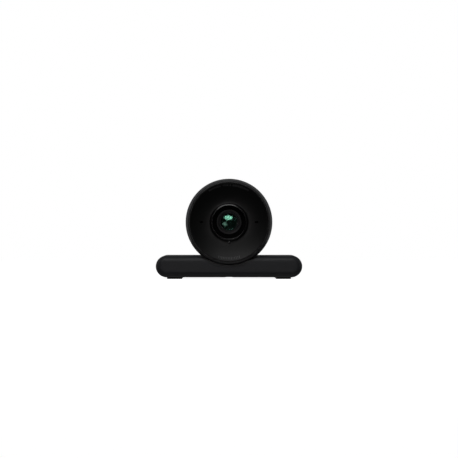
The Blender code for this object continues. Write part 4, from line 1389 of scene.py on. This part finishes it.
HEADS = heads_tree()
screw_names = [f"cover_screw_{i}" for i in range(1, 5)]
spots = []
for name in screw_names:
    low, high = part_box(name)
    spots.append(((low.x + high.x) / 2, (low.y + high.y) / 2, low.z))
head = screw_head("cover_head", 1.7, 0.55, 1.05)
cover_heads = run_tree(
    "cover_screw_heads", HEADS, point_mesh("cover_spots", spots), {"Head": head, "Finish": DARK_STEEL}
)
bpy.data.objects.remove(head)
own(cover_heads, "base", "dark_steel", *screw_names)
low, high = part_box("pan_screw")
pan_spot = point_mesh("pan_spot", [((low.x + high.x) / 2, (low.y + high.y) / 2, low.z)])
head = screw_head("pan_head", 2.6, 1.0, 1.5)
pan_head = run_tree("pan_screw_head", HEADS, pan_spot, {"Head": head, "Finish": DARK_STEEL})
bpy.data.objects.remove(head)
own(pan_head, "pan_arm", "dark_steel", "pan_screw")

# %% [markdown]
# ## Printed marks
# Two arcs of small print run round the dish near its edge. Here they are plain dashes of the same size and
# tone, with no meaning. Geometry Nodes set short bars along an arc, and a fixed seed varies their sizes.
# The bars stand a hundredth of a millimetre or so proud, which is about as thick as pad-printed ink.


# %% The dash tree
def dashes_tree():
    """Puts a bar on every point of the carrier, turned by the point's own turn."""
    inputs = {
        "Dash": ("NodeSocketVector", (0.0005, 0.0002, 0.00002)),
        "Seed": ("NodeSocketInt", 3),
        "Finish": ("NodeSocketMaterial", None),
    }
    tree, entry, leave = geometry_tree("printed_dashes", inputs)
    bar = tree.nodes.new("GeometryNodeMeshCube")
    link(tree, entry.outputs["Dash"], bar.inputs["Size"])
    spread = tree.nodes.new("GeometryNodeInstanceOnPoints")
    link(tree, entry.outputs["Geometry"], spread.inputs["Points"])
    link(tree, bar.outputs["Mesh"], spread.inputs["Instance"])
    turn = node(tree, "GeometryNodeInputNamedAttribute", data_type="FLOAT_VECTOR")
    turn.inputs["Name"].default_value = "turn"
    link(tree, turn.outputs["Attribute"], spread.inputs["Rotation"])
    size = node(tree, "FunctionNodeRandomValue", data_type="FLOAT_VECTOR")
    size.inputs[0].default_value = (0.5, 0.8, 1.0)
    size.inputs[1].default_value = (1.0, 1.2, 1.0)
    link(tree, entry.outputs["Seed"], size.inputs["Seed"])
    link(tree, size.outputs[0], spread.inputs["Scale"])
    close_tree(tree, entry, leave, spread.outputs["Instances"])
    return tree


# %% [markdown]
# ### Placing the dashes
# Each point carries its own turn: round the lens, and then leaning with the bowl. The tree reads it as a
# named attribute, so that every bar lies along its arc and flat on the slope.


# %% Lay the dashes
def dash_points(radius, middle, spread, count):
    """Points round the dish with the turn that lays a bar along the arc and on the slope."""
    mesh = bpy.data.meshes.new("dash_points")
    slope = math.atan2(dish_depth(radius + 0.1) - dish_depth(radius - 0.1), 0.2)
    points, turns = [], []
    for i in range(count):
        angle = middle - spread + 2 * spread * i / (count - 1)
        points.append((*polar(radius, angle), dish_depth(radius) + 0.005))
        lay = Matrix.Rotation(math.radians(angle - 90.0), 3, "Z") @ Matrix.Rotation(slope, 3, "X")
        turns.append(lay.to_euler())
    mesh.from_pydata([(x * MM, y * MM, w * MM) for x, y, w in points], [], [])
    attribute = mesh.attributes.new("turn", "FLOAT_VECTOR", "POINT")
    for item, turn in zip(attribute.data, turns):
        item.vector = tuple(turn)
    return mesh


def lay_dashes(name, mesh, dash, seed):
    """Runs the dash tree and stands its result up on the dish."""
    made = run_tree(name, DASHES, mesh, {"Dash": tuple(v * MM for v in dash), "Seed": seed, "Finish": INK})
    to_face = Matrix.Translation(CENTRE) @ Matrix.Rotation(math.radians(90), 4, "X")
    made.data.transform(to_face)
    return own(made, "head", "textured_dish")


DASHES = dashes_tree()
FIRST_SEED = 3
runs = {"upper": ((122.0, 104.0, 11), (99.0, 88.0, 6), (83.5, 58.5, 15)), "lower": ((253.5, 286.5, 14),)}
sizes = {"upper": (21.2, (0.34, 1.0, 0.02)), "lower": (20.8, (0.5, 1.35, 0.02))}
for arc_name, spans in runs.items():
    radius, dash = sizes[arc_name]
    for i, (start, end, count) in enumerate(spans):
        spots = dash_points(radius, (start + end) / 2, abs(end - start) / 2, count)
        lay_dashes(f"{arc_name}_print_{i + 1}", spots, dash, FIRST_SEED + i)


# %% [markdown]
# ## The studio
# A white sweep with nothing on it. Two broad soft boxes stand high in front and a little to the left, and
# light the tops of the ball and the bar. A small one near the lens axis gives the lens its bright green
# reflection, and a dim pink card below it gives the second, fainter one. The white that the camera sees is
# kept apart from the light that falls on the object, so it doesn't fog the black: to the surfaces the
# surroundings are dim in front, brighter behind, and a little bright from straight below.


# %% The floor
FLOOR_X = 900.0
FLOOR_Y = (-1600.0, 900.0)
FLOOR_Z = (-2.0, -0.02)


def build_floor():
    """A pale floor that the camera sees and the object's reflections don't."""
    front, back = FLOOR_Y
    outline = [(-FLOOR_X, front), (FLOOR_X, front), (FLOOR_X, back), (-FLOOR_X, back)]
    floor = prism("studio_floor", outline, *FLOOR_Z, None, standing)
    look = bpy.data.materials.new("pale_floor")
    look.use_nodes = True
    shader = look.node_tree.nodes["Principled BSDF"]
    shader.inputs["Base Color"].default_value = (0.9, 0.9, 0.9, 1.0)
    shader.inputs["Roughness"].default_value = 0.9
    shader.inputs["Specular IOR Level"].default_value = 0.0
    shader.inputs["Emission Color"].default_value = (1.0, 1.0, 1.0, 1.0)
    shader.inputs["Emission Strength"].default_value = 0.92
    floor.data.materials.append(look)
    floor.visible_diffuse = False
    floor.visible_glossy = False
    floor.visible_transmission = False


build_floor()
print("floor top at", FLOOR_Z[1], "mm")


# %% The surroundings
def ramp(tree, source, start, end, low, high):
    """A value that goes from low to high while the source goes from start to end."""
    made = node(tree, "ShaderNodeMapRange")
    labels = ("From Min", "From Max", "To Min", "To Max")
    for label, value in zip(labels, (start, end, low, high)):
        made.inputs[label].default_value = value
    link(tree, source, made.inputs["Value"])
    return made.outputs["Result"]


def build_world():
    """White to the camera; to the surfaces, dim in front, brighter behind and a little bright below."""
    world = bpy.data.worlds.new("studio")
    bpy.context.scene.world = world
    world.use_nodes = True
    tree = world.node_tree
    background = tree.nodes["Background"]
    background.inputs["Strength"].default_value = 1.0
    path = node(tree, "ShaderNodeLightPath")
    coords = node(tree, "ShaderNodeTexCoord")
    apart = node(tree, "ShaderNodeSeparateXYZ")
    link(tree, coords.outputs["Generated"], apart.inputs["Vector"])
    behind = ramp(tree, apart.outputs["Y"], -0.4, 0.7, 0.02, 0.17)
    below = ramp(tree, apart.outputs["Z"], -0.7, -0.9, 0.0, 0.2)
    mix = node(tree, "ShaderNodeMix", data_type="RGBA")
    mix.inputs["B"].default_value = (1.0, 1.0, 1.0, 1.0)
    link(tree, path.outputs["Is Camera Ray"], mix.inputs["Factor"])
    link(tree, maths(tree, "MAXIMUM", behind, below), mix.inputs["A"])
    link(tree, mix.outputs["Result"], background.inputs["Color"])


build_world()
print("world nodes:", len(bpy.context.scene.world.node_tree.nodes))


# %% Lights
def aimed(elevation, left, distance):
    """A place in front of the object, by its angle up and its angle to the left of the lens axis."""
    up, aside = math.radians(elevation), math.radians(left)
    toward = Vector((-math.sin(aside) * math.cos(up), -math.cos(aside) * math.cos(up), math.sin(up)))
    return CENTRE + toward * distance


def softbox(name, elevation, left, distance, size, radiance, shape="RECTANGLE", colour=(1.0, 1.0, 1.0)):
    """An area light aimed at the ball, given by its brightness, which doesn't change with its size."""
    data = bpy.data.lights.new(name, "AREA")
    data.shape = shape
    data.size, data.size_y = size
    data.energy = radiance * math.pi * size[0] * size[1]
    data.color = colour
    light = bpy.data.objects.new(name, data)
    bpy.context.scene.collection.objects.link(light)
    light.location = aimed(elevation, left, distance)
    light.rotation_euler = (CENTRE - light.location).to_track_quat("-Z", "Y").to_euler()


softbox("high_box", 50.0, 12.0, 0.8, (0.7, 0.4), 1.15)
softbox("middle_box", 35.0, 8.0, 0.8, (0.6, 0.3), 1.1)
softbox("front_box", 8.5, 1.0, 0.9, (0.23, 0.125), 3.2, "ELLIPSE")
softbox("low_card", -3.2, 7.6, 0.9, (0.12, 0.11), 1.1, "ELLIPSE", (1.0, 0.78, 0.84))
softbox("left_box", 15.0, 100.0, 0.9, (0.3, 0.5), 0.6)
softbox("right_box", 15.0, -100.0, 0.9, (0.3, 0.5), 0.5)
print("lights:", len(bpy.data.lights))

# %% [markdown]
# ## The camera
# A long lens far away, level with the middle of the object, so that the bar's ends don't swell. The view's
# width in metres at the front of the head sets the focal length.

# %% Camera
VIEW_HEIGHT = 0.02878
VIEW_WIDTH = 0.2629
DISTANCE = 1.5
SENSOR = 36.0
FRONT = 6.0
camera_data = bpy.data.cameras.new("camera")
camera_data.sensor_width = SENSOR
front_y = CENTRE.y - FRONT * MM
camera_data.lens = SENSOR * DISTANCE / VIEW_WIDTH
camera = bpy.data.objects.new("camera", camera_data)
camera.location = (0.0, front_y - DISTANCE, VIEW_HEIGHT)
camera.rotation_euler = (math.radians(90), 0.0, 0.0)
bpy.context.scene.collection.objects.link(camera)
bpy.context.scene.camera = camera
bpy.context.scene.view_settings.view_transform = "Standard"
print("camera lens", round(camera_data.lens, 1), "mm")
